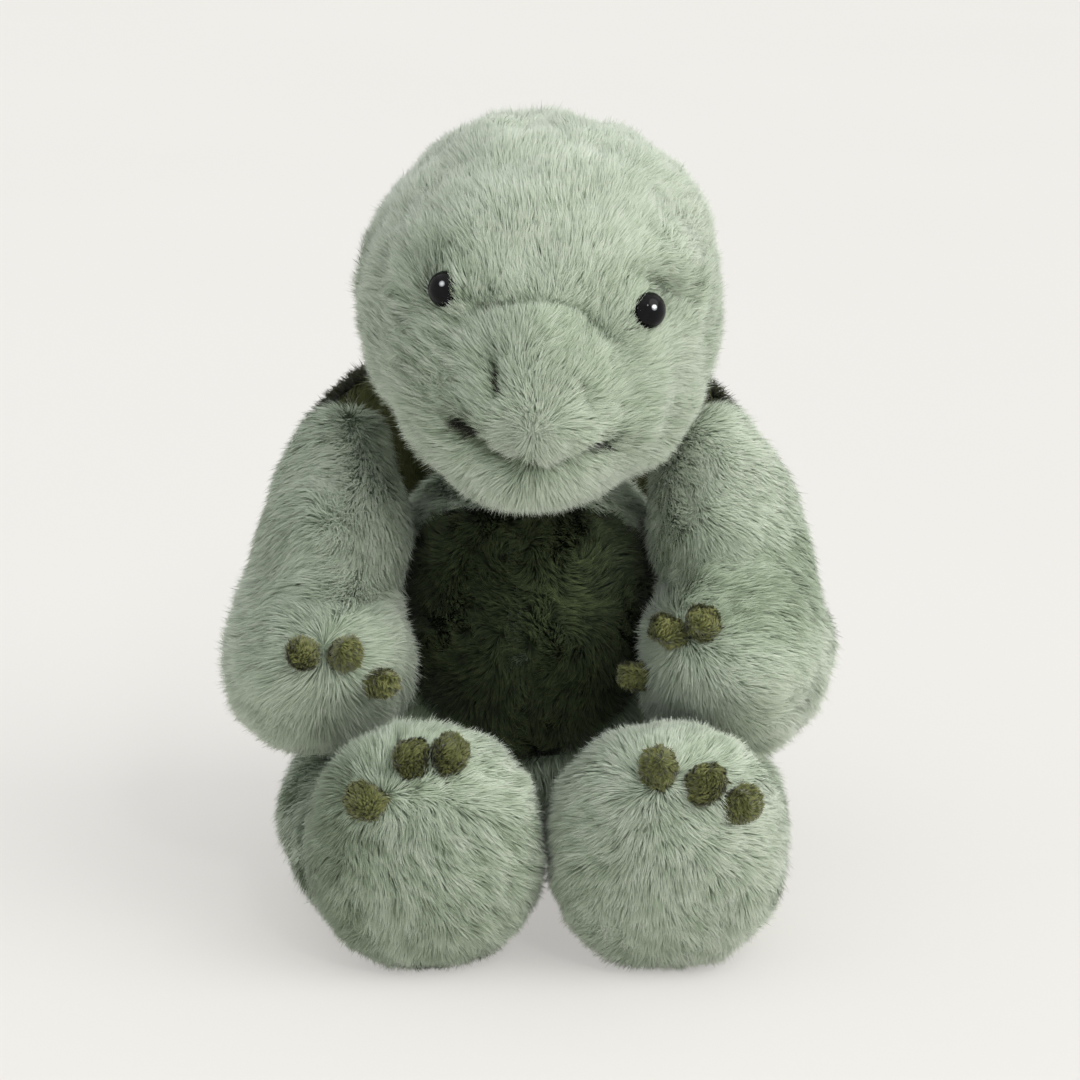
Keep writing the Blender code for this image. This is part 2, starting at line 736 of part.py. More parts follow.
def make_head(fur, eye_gloss, washer_plastic, fibre):
    pivot = neck_pivot()
    ball_socket = cutter("ball_socket", neck_room())
    hollow = cutter("head_hollow", grown(head_form(3), -PILE_DEPTH))
    head = solid("head_cover", head_form(), fur, pivot)
    cut(head, hollow, ball_socket, cutter("chin_pocket", chin_prism(SEAM_GAP)))
    chin = solid("chin_gusset", head_form(), fur, pivot)
    keep_inside(chin, cutter("chin_shape", chin_prism(0.0)))
    cut(chin, hollow, ball_socket)
    filling = solid("head_stuffing", grown(head_form(3), -PILE_DEPTH - SEAM_GAP), fibre, pivot)
    cut(filling, ball_socket)
    for name, side in SIDES.items():
        spot, aim = eye_axis(side)
        eye_seat = cutter("eye_seat_" + name, eye_form(spot, aim, SEAM_GAP))
        washer_seat = cutter("washer_seat_" + name, washer_room(spot, aim))
        solid("eye_" + name, eye_form(spot, aim), eye_gloss, pivot)
        solid("eye_washer_" + name, washer_form(spot, aim), washer_plastic, pivot)
        cut(head, eye_seat, washer_seat)
        cut(filling, eye_seat, washer_seat)


def make_claws(limb, name, carrier, centre, bearings, claw_fur, pivot, limb_round):
    for place, (bearing, pitch) in zip(CLAW_NAMES, bearings):
        aim = toward(bearing, pitch)
        spot, _ = surface_point(centre, aim, carrier)
        claw = solid(f"{limb}_claw_{place}_{name}", claw_form(spot, aim), claw_fur, pivot)
        cut(claw, limb_round)
    carrier.free()


def make_arm(name, side, fur, claw_fur, fibre, body_round):
    pivot = shoulder_pivot(side)
    arm = solid("arm_" + name, arm_form(side), fur, pivot)
    filled("arm_" + name, arm, lambda: arm_form(side, 9, 12), fibre, pivot)
    inside = arm_centre(side)(ARM_SLIT_SHARE)
    cut(arm, body_round, slit("arm_" + name, inside, ARM_END_RADIUS, SLIT_WIDTH, SLIT_LENGTH))
    arm_round = cutter("arm_round_" + name, grown(arm_form(side), SEAM_GAP))
    make_claws("paw", name, arm_form(side), paw_centre(side), PAW_CLAWS[name], claw_fur, pivot, arm_round)


def make_leg(name, side, fur, claw_fur, fibre):
    hip = hip_pivot(side)
    foot_round = cutter("foot_round_" + name, grown(foot_form(side), SEAM_GAP))
    foot = solid("foot_" + name, rested(foot_form(side)), fur, hip)
    filled("foot_" + name, foot, lambda: foot_form(side, 8, 12), fibre, hip)
    cut(foot, slit("foot_" + name, foot_centre(side), HEEL_DEPTH, SLIT_LENGTH, SLIT_WIDTH))
    leg = solid("leg_" + name, rested(leg_form(side)), fur, hip)
    ankle_wall = cutter("ankle_wall_" + name, grown(foot_form(side), PILE_DEPTH))
    filled("leg_" + name, leg, lambda: leg_form(side, 8, 12), fibre, hip, ankle_wall)
    cut(leg, foot_round, slit("leg_" + name, hip, THIGH_RADIUS, SLIT_LENGTH, SLIT_WIDTH))
    make_claws("foot", name, foot_form(side), foot_centre(side), FOOT_CLAWS[name], claw_fur, hip, foot_round)


def main():
    clear_scene()
    fur = principled("pale_fur", FUR_COLOUR, 0.9)
    belly_fur = principled("belly_fur", BELLY_COLOUR, 0.9)
    shell_fur = principled("shell_fur", SHELL_COLOUR, 0.9)
    claw_fur = principled("claw_fur", CLAW_COLOUR, 0.9)
    eye_gloss = principled("eye_gloss", EYE_COLOUR, 0.08)
    washer_plastic = principled("washer_plastic", WASHER_COLOUR, 0.4)
    fibre = principled("stuffing_fibre", FIBRE_COLOUR, 0.95)
    bag_cloth = principled("bean_bag_cloth", BEAN_BAG_COLOUR, 0.9)

    body_round = cutter("body_round", grown(body_form(), SEAM_GAP))
    neck_socket = cutter("neck_socket", neck_form(SEAM_GAP))

    make_torso(fur, belly_fur, fibre, bag_cloth, neck_socket)
    shell = solid("shell_pad", shell_form(), shell_fur)
    filled("shell", shell, lambda: shell_form(8, 14), fibre, None,
           cutter("shell_wall", grown(body_form(), PILE_DEPTH + SEAM_GAP)))
    cut(shell, body_round, slit("shell", shell_middle(), SHELL_BACK_DEPTH, SLIT_LENGTH, SLIT_WIDTH))
    solid("neck", neck_form(), fur, neck_pivot())
    make_head(fur, eye_gloss, washer_plastic, fibre)
    for name, side in SIDES.items():
        make_arm(name, side, fur, claw_fur, fibre, body_round)
        make_leg(name, side, fur, claw_fur, fibre)
    tail = solid("tail", rested(tail_form()), fur)
    cut(tail, body_round)


main()
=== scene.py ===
"""Plush turtle: stuffed skins with a combed pile of real strands, gloss eyes and stitches.

It faces -Y and sits on z = 0. Left and right are the turtle's own. Lengths are in metres, angles in degrees.
"""

import itertools
import math

import bmesh
import bpy
import numpy as np
from mathutils import Matrix, Vector
from mathutils.bvhtree import BVHTree


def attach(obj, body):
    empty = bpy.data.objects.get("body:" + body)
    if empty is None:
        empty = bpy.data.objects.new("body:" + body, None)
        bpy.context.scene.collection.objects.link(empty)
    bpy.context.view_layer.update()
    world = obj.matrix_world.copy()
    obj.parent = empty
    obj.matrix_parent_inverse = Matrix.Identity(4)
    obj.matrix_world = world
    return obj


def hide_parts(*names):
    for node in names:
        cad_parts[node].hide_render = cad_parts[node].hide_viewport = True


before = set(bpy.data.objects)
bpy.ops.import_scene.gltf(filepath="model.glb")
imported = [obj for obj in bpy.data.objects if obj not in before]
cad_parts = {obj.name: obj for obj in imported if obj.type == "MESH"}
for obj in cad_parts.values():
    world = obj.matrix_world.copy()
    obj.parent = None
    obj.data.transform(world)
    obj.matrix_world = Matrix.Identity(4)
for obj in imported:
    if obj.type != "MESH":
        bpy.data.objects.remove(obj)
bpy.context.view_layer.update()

# How deep each skin lies under the combed face of its pile, and how far all of it stays above the floor
SKIN_DEPTH, HEAD_DEPTH, CHIN_DEPTH, PAW_DEPTH, FOOT_DEPTH = 0.0050, 0.0068, 0.0046, 0.0064, 0.0036
SHELL_DEPTH, TAIL_DEPTH, NECK_DEPTH, CLAW_DEPTH = 0.0066, 0.0040, 0.0034, 0.0003
FLOOR_CLEAR = 0.0003

# Strands: their size, the levels along them, the tufts and tones they fall in, the most in one piece, and how
# deep inside another form they are left out
STRAND_LENGTH = 0.0080
STRAND_WIDTH = 0.00028
STRAND_STEPS = (0.0, 0.5, 1.0)
STRAND_TAPER = (1.0, 0.9, 0.0)
TUFT_SIZE = 0.0026
TUFT_WAVES = np.array([[127.1, 269.5, 113.5], [311.7, 183.3, 271.9], [74.7, 246.1, 124.6]])
TUFT_SCATTER = 43758.5453
TONES = 48
MOST_STRANDS = 62000
COVERED_DEPTH = 0.0015

# How strands differ: what drifts over which distance, and how far each strand strays from its neighbours
COMB_DRIFT, SWIRL_DRIFT, LIFT_DRIFT, LENGTH_DRIFT = 0.030, 0.009, 0.020, 0.014
LIFT_SWING, LENGTH_SWING = 3.0, 0.10
TONE_DRIFTS = ((0.07, 0.035), (0.09, 0.006))
COMB_SPREAD, LIFT_SPREAD, TWIST_SPREAD, FACING_SPREAD, TONE_SPREAD = 0.12, 5.0, 0.55, 0.16, 0.17
FLYAWAY_SHARE, FLYAWAY_RISE = 0.08, 20.0
LENGTH_SHARES, WIDTH_SHARES = (0.72, 1.12), (0.7, 1.25)
FACING_COMB_SHARE = 0.25

# The solids' own sizes, but for claws, eye domes, the arms' tops, the thighs' front ends and the shell's place,
# which follow the photograph more closely than the solids do
BODY = {"height": 0.157, "half_width": 0.063, "half_depth": 0.054, "exponent": 2.5, "taper": 0.10,
        "lean_share": 0.80, "back": 0.042, "belly": 0.018, "chest": 0.022, "cut": 0.0005}
PANEL = {"half_width": 0.047, "top": 0.146, "bottom": 0.052, "exponent": 2.8, "narrowing": 0.45,
         "back": 0.010}
SHELL = {"half_width": 0.093, "half_height": 0.080, "front": 0.014, "back": 0.047, "y": 0.063, "z": 0.1075,
         "exponent": 2.9, "dome": 2.1}
SHELL_ASIDE = -0.0008
NECK_PIVOT = np.array([0.0, 0.014, 0.168])
NECK = {"bottom": -0.034, "length": 0.060, "radius": 0.017, "bulge": 0.009, "bulge_at": 0.62,
        "bulge_spread": 0.25, "exponent": 4.0}
HEAD_HALF = np.array([0.0655, 0.0660, 0.0640])
HEAD_EXPONENT = 2.25
HEAD_LEAN = 6.0
HEAD_OFFSET = np.array([0.0, -0.026, 0.054])
HEAD_LOBES = ((0.0, -23.0, 31.0, 0.0170), (0.0, -52.0, 20.0, 0.0090),
              (-42.0, -31.0, 19.0, 0.0045), (42.0, -31.0, 19.0, 0.0045),
              (-33.0, 27.0, 14.0, 0.0035), (33.0, 27.0, 14.0, 0.0035))
SHOULDER = {"left": np.array([0.059022, 0.014, 0.143]), "right": np.array([-0.059073, 0.014, 0.143])}
ARM = {"wrist": (0.0235, 0.0310, 0.0285), "paw": (0.0098, 0.0710, 0.0738), "root": 0.0235, "end": 0.0440,
       "exponent": 2.6, "pear": 1.3, "tuck_at": 0.50, "tuck_spread": 0.10, "tuck": 0.10, "paw_at": 0.78}
SHOULDER_RISE = {"right": 0.0070, "left": 0.0074}
SHOULDER_EXPONENT = {"right": 2.8, "left": 3.6}
HIP = {"left": np.array([0.0575, 0.0, 0.0295]), "right": np.array([-0.0545, 0.0, 0.0295])}
THIGH = {"half_width": 0.0375, "radius": 0.0300, "exponent": 2.5, "ankle_exponent": 6.0}
FOOT = {"left": np.array([0.0480, -0.0855, 0.0432]), "right": np.array([-0.0348, -0.0855, 0.0432])}
FOOT_HALF = (0.0410, 0.0437)
SOLE, HEEL = 0.0245, 0.0300
FOOT_EXPONENT, FOOT_ROUND = 2.1, 2.15
TAIL = {"length": 0.034, "root": 0.020, "radius": 0.0125, "flat": 0.85, "taper": 0.30, "exponent": 2.2,
        "y": 0.076, "z": 0.017, "tilt": 12.0}
CLAW_RADIUS, CLAW_LENGTH, CLAW_PROUD, CLAW_EXPONENT = 0.0053, 0.0130, 0.0062, 2.9
CLAW_LUMPS = ((0.05, 1.3), (0.05, 0.35))
CLAW_NAMES = ("outer", "middle", "inner")
SIDES = {"right": -1.0, "left": 1.0}

# Rings and sides of the tubes that the forms are made of
ARM_GRID, LEG_GRID, BODY_GRID, SHELL_GRID, SMALL_GRID = (64, 84), (48, 72), (64, 96), (56, 96), (24, 36)

# Claws: bearing and pitch of each from the middle of its paw or foot, in the order of their names
CLAWS = {"paw": {"right": ((-7.0, 31.5), (22.0, 30.5), (44.5, 9.5)),
                 "left": ((-30.0, 47.5), (-58.0, 37.0), (-84.0, 2.0))},
         "foot": {"right": ((-47.0, 41.0), (-15.0, 69.0), (36.0, 68.0)),
                  "left": ((57.0, 36.0), (36.0, 54.0), (-13.0, 65.5))}}
CLAW_SIZES = {"paw": (0.88, 0.88, 0.80), "foot": (1.04, 1.04, 1.04)}
CLAW_TONES = {"paw": 0.66, "foot": 0.46}

# Eyes: their place, the form of a dome on its shank, how far each is let in, half the width and height of its
# opening in the pile, the way that the highlight painted on its gloss faces, and that painted highlight's
# spread
EYE_BEARING, EYE_PITCH, EYE_RADIUS = 31.0, 8.6, 0.0062
EYE = {"rim": 0.0022, "dome": 0.0050, "shank": 0.0022, "shank_end": 0.0120, "bevel": 0.0005, "edge": 0.0003,
       "under": 0.0006, "rings": 25, "sides": 72}
EYE_SINK = {"right": 0.0024, "left": 0.0012}
EYE_OPENING = {"right": (0.0030, 0.0052), "left": (0.0042, 0.0056)}
EYE_PAINTED_HIGHLIGHT = {"right": (-23.0, 24.0), "left": (25.0, 20.0)}
PAINTED_HIGHLIGHT_SPREAD = 10.0

# The face in the photograph, as bearing and pitch from the head's middle in its own leaning frame
NOSE, NOSE_SPREAD, WHORL_RADIUS = (-0.7, -24.0), 0.0070, 0.0105
FACE_LINES = {"mouth": ((-22.0, -25.3), (-15.8, -27.0), (-11.0, -28.3), (-2.0, -30.4), (5.0, -29.6),
                        (15.5, -27.5), (22.0, -28.0)),
              "mouth_shade": ((-21.0, -26.3), (-14.0, -29.2), (-7.5, -31.2)),
              "bridge": ((-19.8, 5.0), (-12.5, 7.6), (-4.5, 9.2), (3.5, 9.2), (9.5, 7.8), (15.0, 5.2),
                         (20.5, 0.5)),
              "nostril_right": ((-13.2, -7.6), (-11.4, -11.2), (-10.3, -14.6)),
              "nostril_left": ((11.5, -11.8), (12.0, -14.2)),
              "corner_right": ((-21.6, -27.0), (-17.8, -28.4)),
              "corner_left": ((16.5, -26.8), (23.0, -28.8))}
LIP_DROP, LIP_MIDDLE, LIP_REACH, LIP_EASE = -30.4, -1.0, 23.0, 2.5
LIP_CURVE = {"right": 0.0105, "left": 0.0055}
BROW_FOLDS = ((((27.0, 17.0), (38.0, 15.0), (50.0, 9.5)), 0.0024),
              (((-47.0, 13.0), (-38.0, 18.0), (-31.0, 20.0)), 0.0013))
BROW_SWELL_RISE, BROW_SWELL_SHARE = 0.0085, 0.6
MUZZLE_SIDES = (((-21.0, 4.0), (-27.0, -5.0), (-28.5, -16.0)), ((16.0, 5.0), (26.0, -5.0), (28.5, -17.0)))
HEAD_DENTS = ((-90.0, 43.0, 0.0026, 0.0190), (-50.0, 50.0, 0.0018, 0.0190), (-90.0, 74.0, -0.0010, 0.0130),
              (88.0, 24.0, 0.0058, 0.0150), (88.0, 46.0, 0.0016, 0.0120), (80.0, -2.0, 0.0006, 0.0120))
ROUGH_PLACES = ((-46.0, 2.0), (44.0, 18.0))

# Lines of the face: how deep each is pressed in over which spread, by what share its strands are cut over
# which spread and how far below it, and how much painted shade darkens them over which spread
LINE_PRESS = {"mouth": (0.0026, 0.0026), "mouth_shade": (0.0034, 0.0056), "bridge": (0.0024, 0.0026),
              "nostril_right": (0.0040, 0.0036), "nostril_left": (0.0022, 0.0032)}
LINE_TRIM = {"mouth_shade": (0.30, 0.0050, 0.0), "corner_left": (0.45, 0.0028, 0.0),
             "corner_right": (0.45, 0.0034, 0.0), "bridge": (0.35, 0.0030, 0.0012),
             "nostril_right": (0.62, 0.0042, 0.0012), "nostril_left": (0.40, 0.0036, 0.0012)}
LINE_PAINTED_SHADE = {"nostril_right": (0.60, 0.0034), "mouth_shade": (0.85, 0.0050), "corner_right": (0.80, 0.0036),
             "corner_left": (0.50, 0.0020), "bridge": (0.32, 0.0022), "nostril_left": (0.28, 0.0030)}

# How close to the right nostril no pile grows. Threads: the line each is sewn along and the first point of it
# that is used, how far from it they stand, and their length
NOSTRIL_BARE = 0.0009
THREADS = {"nostril_right": ("nostril_right", 1, 0.0010, 0.0066),
           "mouth_right": ("corner_right", 0, 0.0019, 0.0108),
           "mouth_left": ("corner_left", 0, 0.0016, 0.0074)}

# Arms: creases with their depth and spread, dents with theirs, and the lines where strands that point at a
# front viewer would show too much of their dark roots, with the painted light that makes them paler there
ARM_CREASES = {"right": [(((-0.1004, -0.0388, 0.1178), (-0.0850, -0.0510, 0.1215), (-0.0679, -0.0545, 0.1233),
                           (-0.0520, -0.0480, 0.1225)), 0.0016, 0.0040)],
               "left": [(((0.0526, -0.0122, 0.1549), (0.0561, -0.0250, 0.1470)), 0.0035, 0.0030)]}
ARM_DENTS = {"right": (((-0.099, -0.055, 0.076), 0.0040, 0.018), ((-0.096, -0.020, 0.135), 0.0024, 0.022),
                       ((-0.0485, -0.014, 0.121), -0.0042, 0.013),
                       ((-0.0480, -0.006, 0.146), -0.0026, 0.014)),
             "left": (((0.096, -0.055, 0.076), 0.0052, 0.019), ((0.099, -0.030, 0.118), -0.0024, 0.018),
                      ((0.044, 0.008, 0.170), 0.0036, 0.018))}
ARM_END_ON = {"right": (((-0.0600, -0.010, 0.168), (-0.0530, -0.032, 0.125)), 0.24),
              "left": (((0.062, -0.010, 0.160), (0.052, -0.030, 0.130)), 0.14)}

# Arms' pile: strands per square millimetre, their width and their lean at the root, how much paler the paw is
# painted as light, most on the lit left arm, from where it is combed, and how far aside the sleeve is combed
ARM_PILE = {"right": (5.2, STRAND_WIDTH, 32.0), "left": (6.0, 0.00030, 40.0)}
PAW_PAINTED_LIGHT = {"right": 0.02, "left": 0.16}
PAW_COMB = {"right": (8.0, 38.0), "left": (-50.0, 38.0)}
SLEEVE_ASIDE = {"right": -0.7, "left": 1.4}

# Feet: where the comb starts on each, how much painted shade darkens its side away from the key light, and its
# tone, painted lighter on the lit left foot and darker on the right
TOES = {"right": (-0.015, -0.020, 0.026), "left": (-0.002, -0.020, 0.030)}
FOOT_PAINTED_LIGHT_AND_SHADE = {"right": (0.60, -0.10), "left": (0.16, 0.10)}

# The belly panel: its middle seam with that seam's depth and spread, how proud the panel lies, how thick it is
# and how far its cloth passes its outline
PANEL_SEAM = ((-0.0045, -0.0179, 0.1362), (-0.0045, -0.0290, 0.1000), (0.0, -0.0290, 0.0700))
SEAM_PRESS, SEAM_SPREAD, PANEL_PROUD, PANEL_THICKNESS, PANEL_MARGIN = 0.0022, 0.0030, 0.0006, 0.0012, 0.0015

# Piles from the painted shade deep in a crease over root, middle and tip to the brightest tips; cloths from
# dark to light
COLOURS = {
    "pale_pile": ((0.23, 0.28, 0.18), (0.39, 0.48, 0.33), (0.58, 0.68, 0.51), (0.75, 0.82, 0.67),
                  (0.90, 0.94, 0.84)),
    "belly_pile": ((0.005, 0.009, 0.003), (0.013, 0.021, 0.007), (0.034, 0.053, 0.018), (0.100, 0.135, 0.050),
                   (0.26, 0.31, 0.14)),
    "shell_pile": ((0.038, 0.046, 0.013), (0.070, 0.083, 0.025), (0.110, 0.127, 0.042), (0.180, 0.200, 0.072),
                   (0.32, 0.33, 0.15)),
    "claw_pile": ((0.058, 0.066, 0.018), (0.108, 0.120, 0.034), (0.185, 0.200, 0.060), (0.310, 0.325, 0.115),
                  (0.54, 0.52, 0.24)),
    "pale_cloth": ((0.23, 0.29, 0.21), (0.34, 0.41, 0.30)),
    "belly_cloth": ((0.013, 0.021, 0.007), (0.026, 0.040, 0.014)),
    "shell_cloth": ((0.045, 0.054, 0.016), (0.075, 0.088, 0.027)),
    "claw_cloth": ((0.080, 0.085, 0.024), (0.130, 0.138, 0.040)),
    "mouth_thread": ((0.006, 0.006, 0.004), (0.016, 0.015, 0.010), (0.040, 0.038, 0.026),
                     (0.080, 0.078, 0.055), (0.14, 0.14, 0.10))}
WASHER_COLOURS = ((0.70, 0.70, 0.68), (0.80, 0.80, 0.78))
EYE_TINT = ((0.3, (0.002, 0.002, 0.002)), (0.7, (0.005, 0.005, 0.007)))
# The painted highlight on the eyes: the ramp that sets where its pale metal spot shows, and the spot's colour
PAINTED_HIGHLIGHT_MASK, PAINTED_HIGHLIGHT_COLOUR = ((0.45, (0.0, 0.0, 0.0)), (0.90, (0.9, 0.9, 0.9))), (0.78, 0.82, 0.86, 1.0)

# Studio: a pale paper floor, the colours that the camera sees of floor and backdrop, the lamps and the camera
FLOOR_NEAR, FLOOR_FAR, FLOOR_SIDE = -3.0, 9.0, 6.0
PAPER = ((0.3, (0.800, 0.780, 0.745)), (0.7, (0.815, 0.795, 0.760)))
FLOOR_SEEN, FLOOR_SEEN_SHARE = (0.900, 0.876, 0.836, 1.0), 0.50
BACKDROP, ROOM, ROOM_STRENGTH = (0.866, 0.856, 0.820, 1.0), (0.93, 0.97, 1.0, 1.0), 0.51
SUNS = {"key": ((0.95, -0.45, 0.85), 1.42, 50.0, (1.0, 0.985, 0.955)),
        "over": ((0.15, 0.10, 1.0), 0.85, 110.0, (1.0, 1.0, 0.99))}
CATCH_PLACE, CATCH_AIM, CATCH_SIZE, CATCH_POWER = (0.36, -1.10, 1.05), (0.0, -0.06, 0.23), 0.20, 2.6
CAMERA_TARGET, CAMERA_DISTANCE, CAMERA_PITCH = (0.0047, 0.0, 0.1285), 1.30, 16.0
HALF_VIEW, SENSOR = 0.1495, 36.0


def unit(vectors):
    return vectors / np.maximum(np.linalg.norm(vectors, axis=-1, keepdims=True), 1e-12)


def bump(distance, spread):
    return np.exp(-((distance / spread) ** 2))


def upper(values, level, span):
    """0 up to the level, rising to 1 over the span above it."""
    return np.clip((values - level) / span, 0.0, 1.0)


def lower(values, level, span):
    """0 down to the level, rising to 1 over the span below it."""
    return np.clip((level - values) / span, 0.0, 1.0)


def toward(bearing, pitch):
    """Unit direction: bearing from straight ahead (-Y) towards +X, pitch above level."""
    b, p = math.radians(bearing), math.radians(pitch)
    return np.array([math.sin(b) * math.cos(p), -math.cos(b) * math.cos(p), math.sin(p)])


def swell(share, exponent):
    return np.maximum(0.0, 1.0 - np.abs(2.0 * share - 1.0) ** exponent) ** (1.0 / exponent)


def from_line(points, line):
    """Distance of each point from a line of points."""
    nearest = np.full(len(points), np.inf)
    corners = np.array(line, float)
    for start, end in zip(corners[:-1], corners[1:]):
        reach = end - start
        share = np.clip((points - start) @ reach / (reach @ reach), 0.0, 1.0)
        nearest = np.minimum(nearest, np.linalg.norm(points - start - share[:, None] * reach, axis=1))
    return nearest


def near_line(points, line, spread):
    return bump(from_line(points, line), spread)


def near_spot(points, spot, spread):
    return bump(np.linalg.norm(points - spot, axis=1), spread)


def drift(points, size, seed, count=8):
    """Smooth vectors about 1 long that wander over this distance, as a sum of this many waves."""
    rng = np.random.default_rng(seed)
    waves = unit(rng.normal(size=(count, 3))) * (2.0 * math.pi / size) * rng.uniform(0.5, 1.4, (count, 1))
    turns = rng.uniform(0.0, 2.0 * math.pi, (count, 3))
    total = np.zeros((len(points), 3))
    for wave, turn in zip(waves, turns):
        total += np.sin((points @ wave)[:, None] + turn)
    return total / 2.0


def tuft_offset(points, size, seed):
    """From each point to the middle of the tuft that it belongs to."""
    cell = np.floor(points / size)
    nearest = np.full(len(points), np.inf)
    offset = np.zeros_like(points)
    for shift in itertools.product((-1.0, 0.0, 1.0), repeat=3):
        corner = cell + shift
        mixed = np.sin(corner @ TUFT_WAVES + seed)
        middle = (corner + np.modf(np.abs(mixed * TUFT_SCATTER))[0]) * size
        gap = np.linalg.norm(middle - points, axis=1)
        closer = gap < nearest
        nearest[closer] = gap[closer]
        offset[closer] = (middle - points)[closer]
    return offset


def ring_faces(rings, sides):
    """Faces of a closed form whose points are its rings in order, and then the pole at either end."""
    count = rings * sides
    faces = []
    for side in range(sides):
        after = (side + 1) % sides
        faces.append((count, after, side))
        faces.append((count + 1, count - sides + side, count - sides + after))
        for low in range(0, count - sides, sides):
            faces.append((low + side, low + after, low + sides + after, low + sides + side))
    return faces


def tube(centre_at, radii_at, rings, sides, squareness=2.0):
    """Points and faces of a closed stuffed tube round centre_at(share)."""
    points = []
    step = 0.5 / rings
    turn = 2.0 * math.pi * np.arange(sides) / sides
    u, v = np.cos(turn), np.sin(turn)
    reach = (np.abs(u) ** squareness + np.abs(v) ** squareness) ** (-1.0 / squareness)
    for ring in range(1, rings):
        share = 0.5 - 0.5 * math.cos(math.pi * ring / rings)
        way = unit(centre_at(min(1.0, share + step)) - centre_at(max(0.0, share - step)))
        sideways = unit(np.array([1.0, 0.0, 0.0]) - way * way[0])
        other = np.cross(way, sideways)
        wide, deep = radii_at(share)
        ring_points = np.outer(wide * u * reach, sideways), np.outer(deep * v * reach, other)
        points.append(centre_at(share) + ring_points[0] + ring_points[1])
    return np.vstack(points + [centre_at(0.0)[None], centre_at(1.0)[None]]), ring_faces(rings - 1, sides)


def sphere(detail):
    bm = bmesh.new()
    bmesh.ops.create_icosphere(bm, subdivisions=detail, radius=1.0)
    points = np.array([vert.co for vert in bm.verts])
    faces = [tuple(vert.index for vert in face.verts) for face in bm.faces]
    bm.free()
    return unit(points), faces


def in_scene(name, data):
    made = bpy.data.objects.new(name, data)
    bpy.context.scene.collection.objects.link(made)
    return made


def mesh_object(name, points, faces, material):
    mesh = bpy.data.meshes.new(name)
    mesh.from_pydata(points.tolist(), [], faces)
    bm = bmesh.new()
    bm.from_mesh(mesh)
    bmesh.ops.recalc_face_normals(bm, faces=bm.faces)
    bm.to_mesh(mesh)
    bm.free()
    mesh.shade_smooth()
    mesh.materials.append(material)
    return in_scene(name, mesh)


def vertex_arrays(mesh):
    points = np.empty(len(mesh.vertices) * 3)
    normals = np.empty(len(mesh.vertices) * 3)
    mesh.vertices.foreach_get("co", points)
    mesh.vertices.foreach_get("normal", normals)
    return points.reshape(-1, 3), normals.reshape(-1, 3)


# Where each skin's vertices would lie on the combed face above them
combed_face = {}


def skin(name, form, material, body, nodes, depth=SKIN_DEPTH, sculpt=None):
    """A stuffed skin under the combed face of its pile. sculpt gives how far each point is pressed in."""
    made = mesh_object(name, *form, look[material])
    points, normals = vertex_arrays(made.data)
    combed_face[name] = points
    sink = np.full(len(points), depth)
    if sculpt is not None:
        sink += sculpt(points)
    points = points - normals * sink[:, None]
    points[:, 2] = np.maximum(points[:, 2], FLOOR_CLEAR)
    made.data.vertices.foreach_set("co", points.ravel())
    made.data.update()
    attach(made, body)
    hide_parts(*nodes)
    return made


def scatter(base, count, rng):
    """Roots spread evenly over a skin, with the smooth normal at each and its place on the combed face."""
    mesh = base.data
    mesh.calc_loop_triangles()
    corners = np.empty(len(mesh.loop_triangles) * 3, np.int32)
    mesh.loop_triangles.foreach_get("vertices", corners)
    corners = corners.reshape(-1, 3)
    points, normals = vertex_arrays(mesh)
    a, b, c = (points[corners[:, i]] for i in range(3))
    area = np.linalg.norm(np.cross(b - a, c - a), axis=1)
    picked = corners[rng.choice(len(corners), count, p=area / area.sum())]
    u, v = rng.random(count), rng.random(count)
    flip = u + v > 1.0
    u[flip], v[flip] = 1.0 - u[flip], 1.0 - v[flip]
    weights = np.stack([1.0 - u - v, u, v], axis=1)[:, :, None]
    roots, ways, spots = ((values[picked] * weights).sum(axis=1)
                          for values in (points, normals, combed_face[base.name]))
    return roots, unit(ways), spots


def ribbons(name, levels, halves, facing, shade, material):
    """A mesh of flat strands from their middle lines at each level, half-widths, normals and tones."""
    count = len(shade)
    tip = 2 * len(levels) - 2
    points = np.empty((count, tip + 1, 3), np.float32)
    for row in range(len(levels) - 1):
        points[:, 2 * row] = levels[row] - halves[row]
        points[:, 2 * row + 1] = levels[row] + halves[row]
    points[:, tip] = levels[-1]
    np.maximum(points[:, :, 2], FLOOR_CLEAR, out=points[:, :, 2])
    quads = [[low, low + 1, low + 3, low + 2] for low in range(0, tip - 2, 2)]
    loops = [corner for quad in quads for corner in quad] + [tip - 2, tip - 1, tip]
    sizes = [4] * len(quads) + [3]
    first = np.arange(count)[:, None] * (tip + 1)
    mesh = bpy.data.meshes.new(name)
    mesh.vertices.add(count * (tip + 1))
    mesh.vertices.foreach_set("co", points.ravel())
    mesh.loops.add(count * len(loops))
    mesh.loops.foreach_set("vertex_index", (first + np.array(loops)).ravel().astype(np.int32))
    mesh.polygons.add(count * len(sizes))
    starts = np.arange(count)[:, None] * len(loops) + np.concatenate(([0], np.cumsum(sizes)[:-1]))
    mesh.polygons.foreach_set("loop_start", starts.ravel().astype(np.int32))
    # A strand's tone picks its column, and its two edges stay well within that column
    uv = mesh.uv_layers.new(name="OFBake")
    column = np.minimum((np.clip(shade, 0.0, 1.0) * TONES).astype(int), TONES - 1)
    place = np.empty((count, len(loops), 2), np.float32)
    for i, corner in enumerate(loops):
        side = 0.5 if corner == tip else 0.1 + 0.8 * (corner % 2)
        place[:, i, 0] = (column + side) / TONES
        place[:, i, 1] = 0.01 + 0.98 * STRAND_STEPS[corner // 2]
    uv.data.foreach_set("uv", place.ravel())
    mesh.update(calc_edges=True)
    mesh.shade_smooth()
    normals = mesh.attributes.new("custom_normal", "FLOAT_VECTOR", "POINT")
    normals.data.foreach_set("vector", np.repeat(facing, tip + 1, axis=0).astype(np.float32).ravel())
    mesh.materials.append(look[material])
    return in_scene(name, mesh)


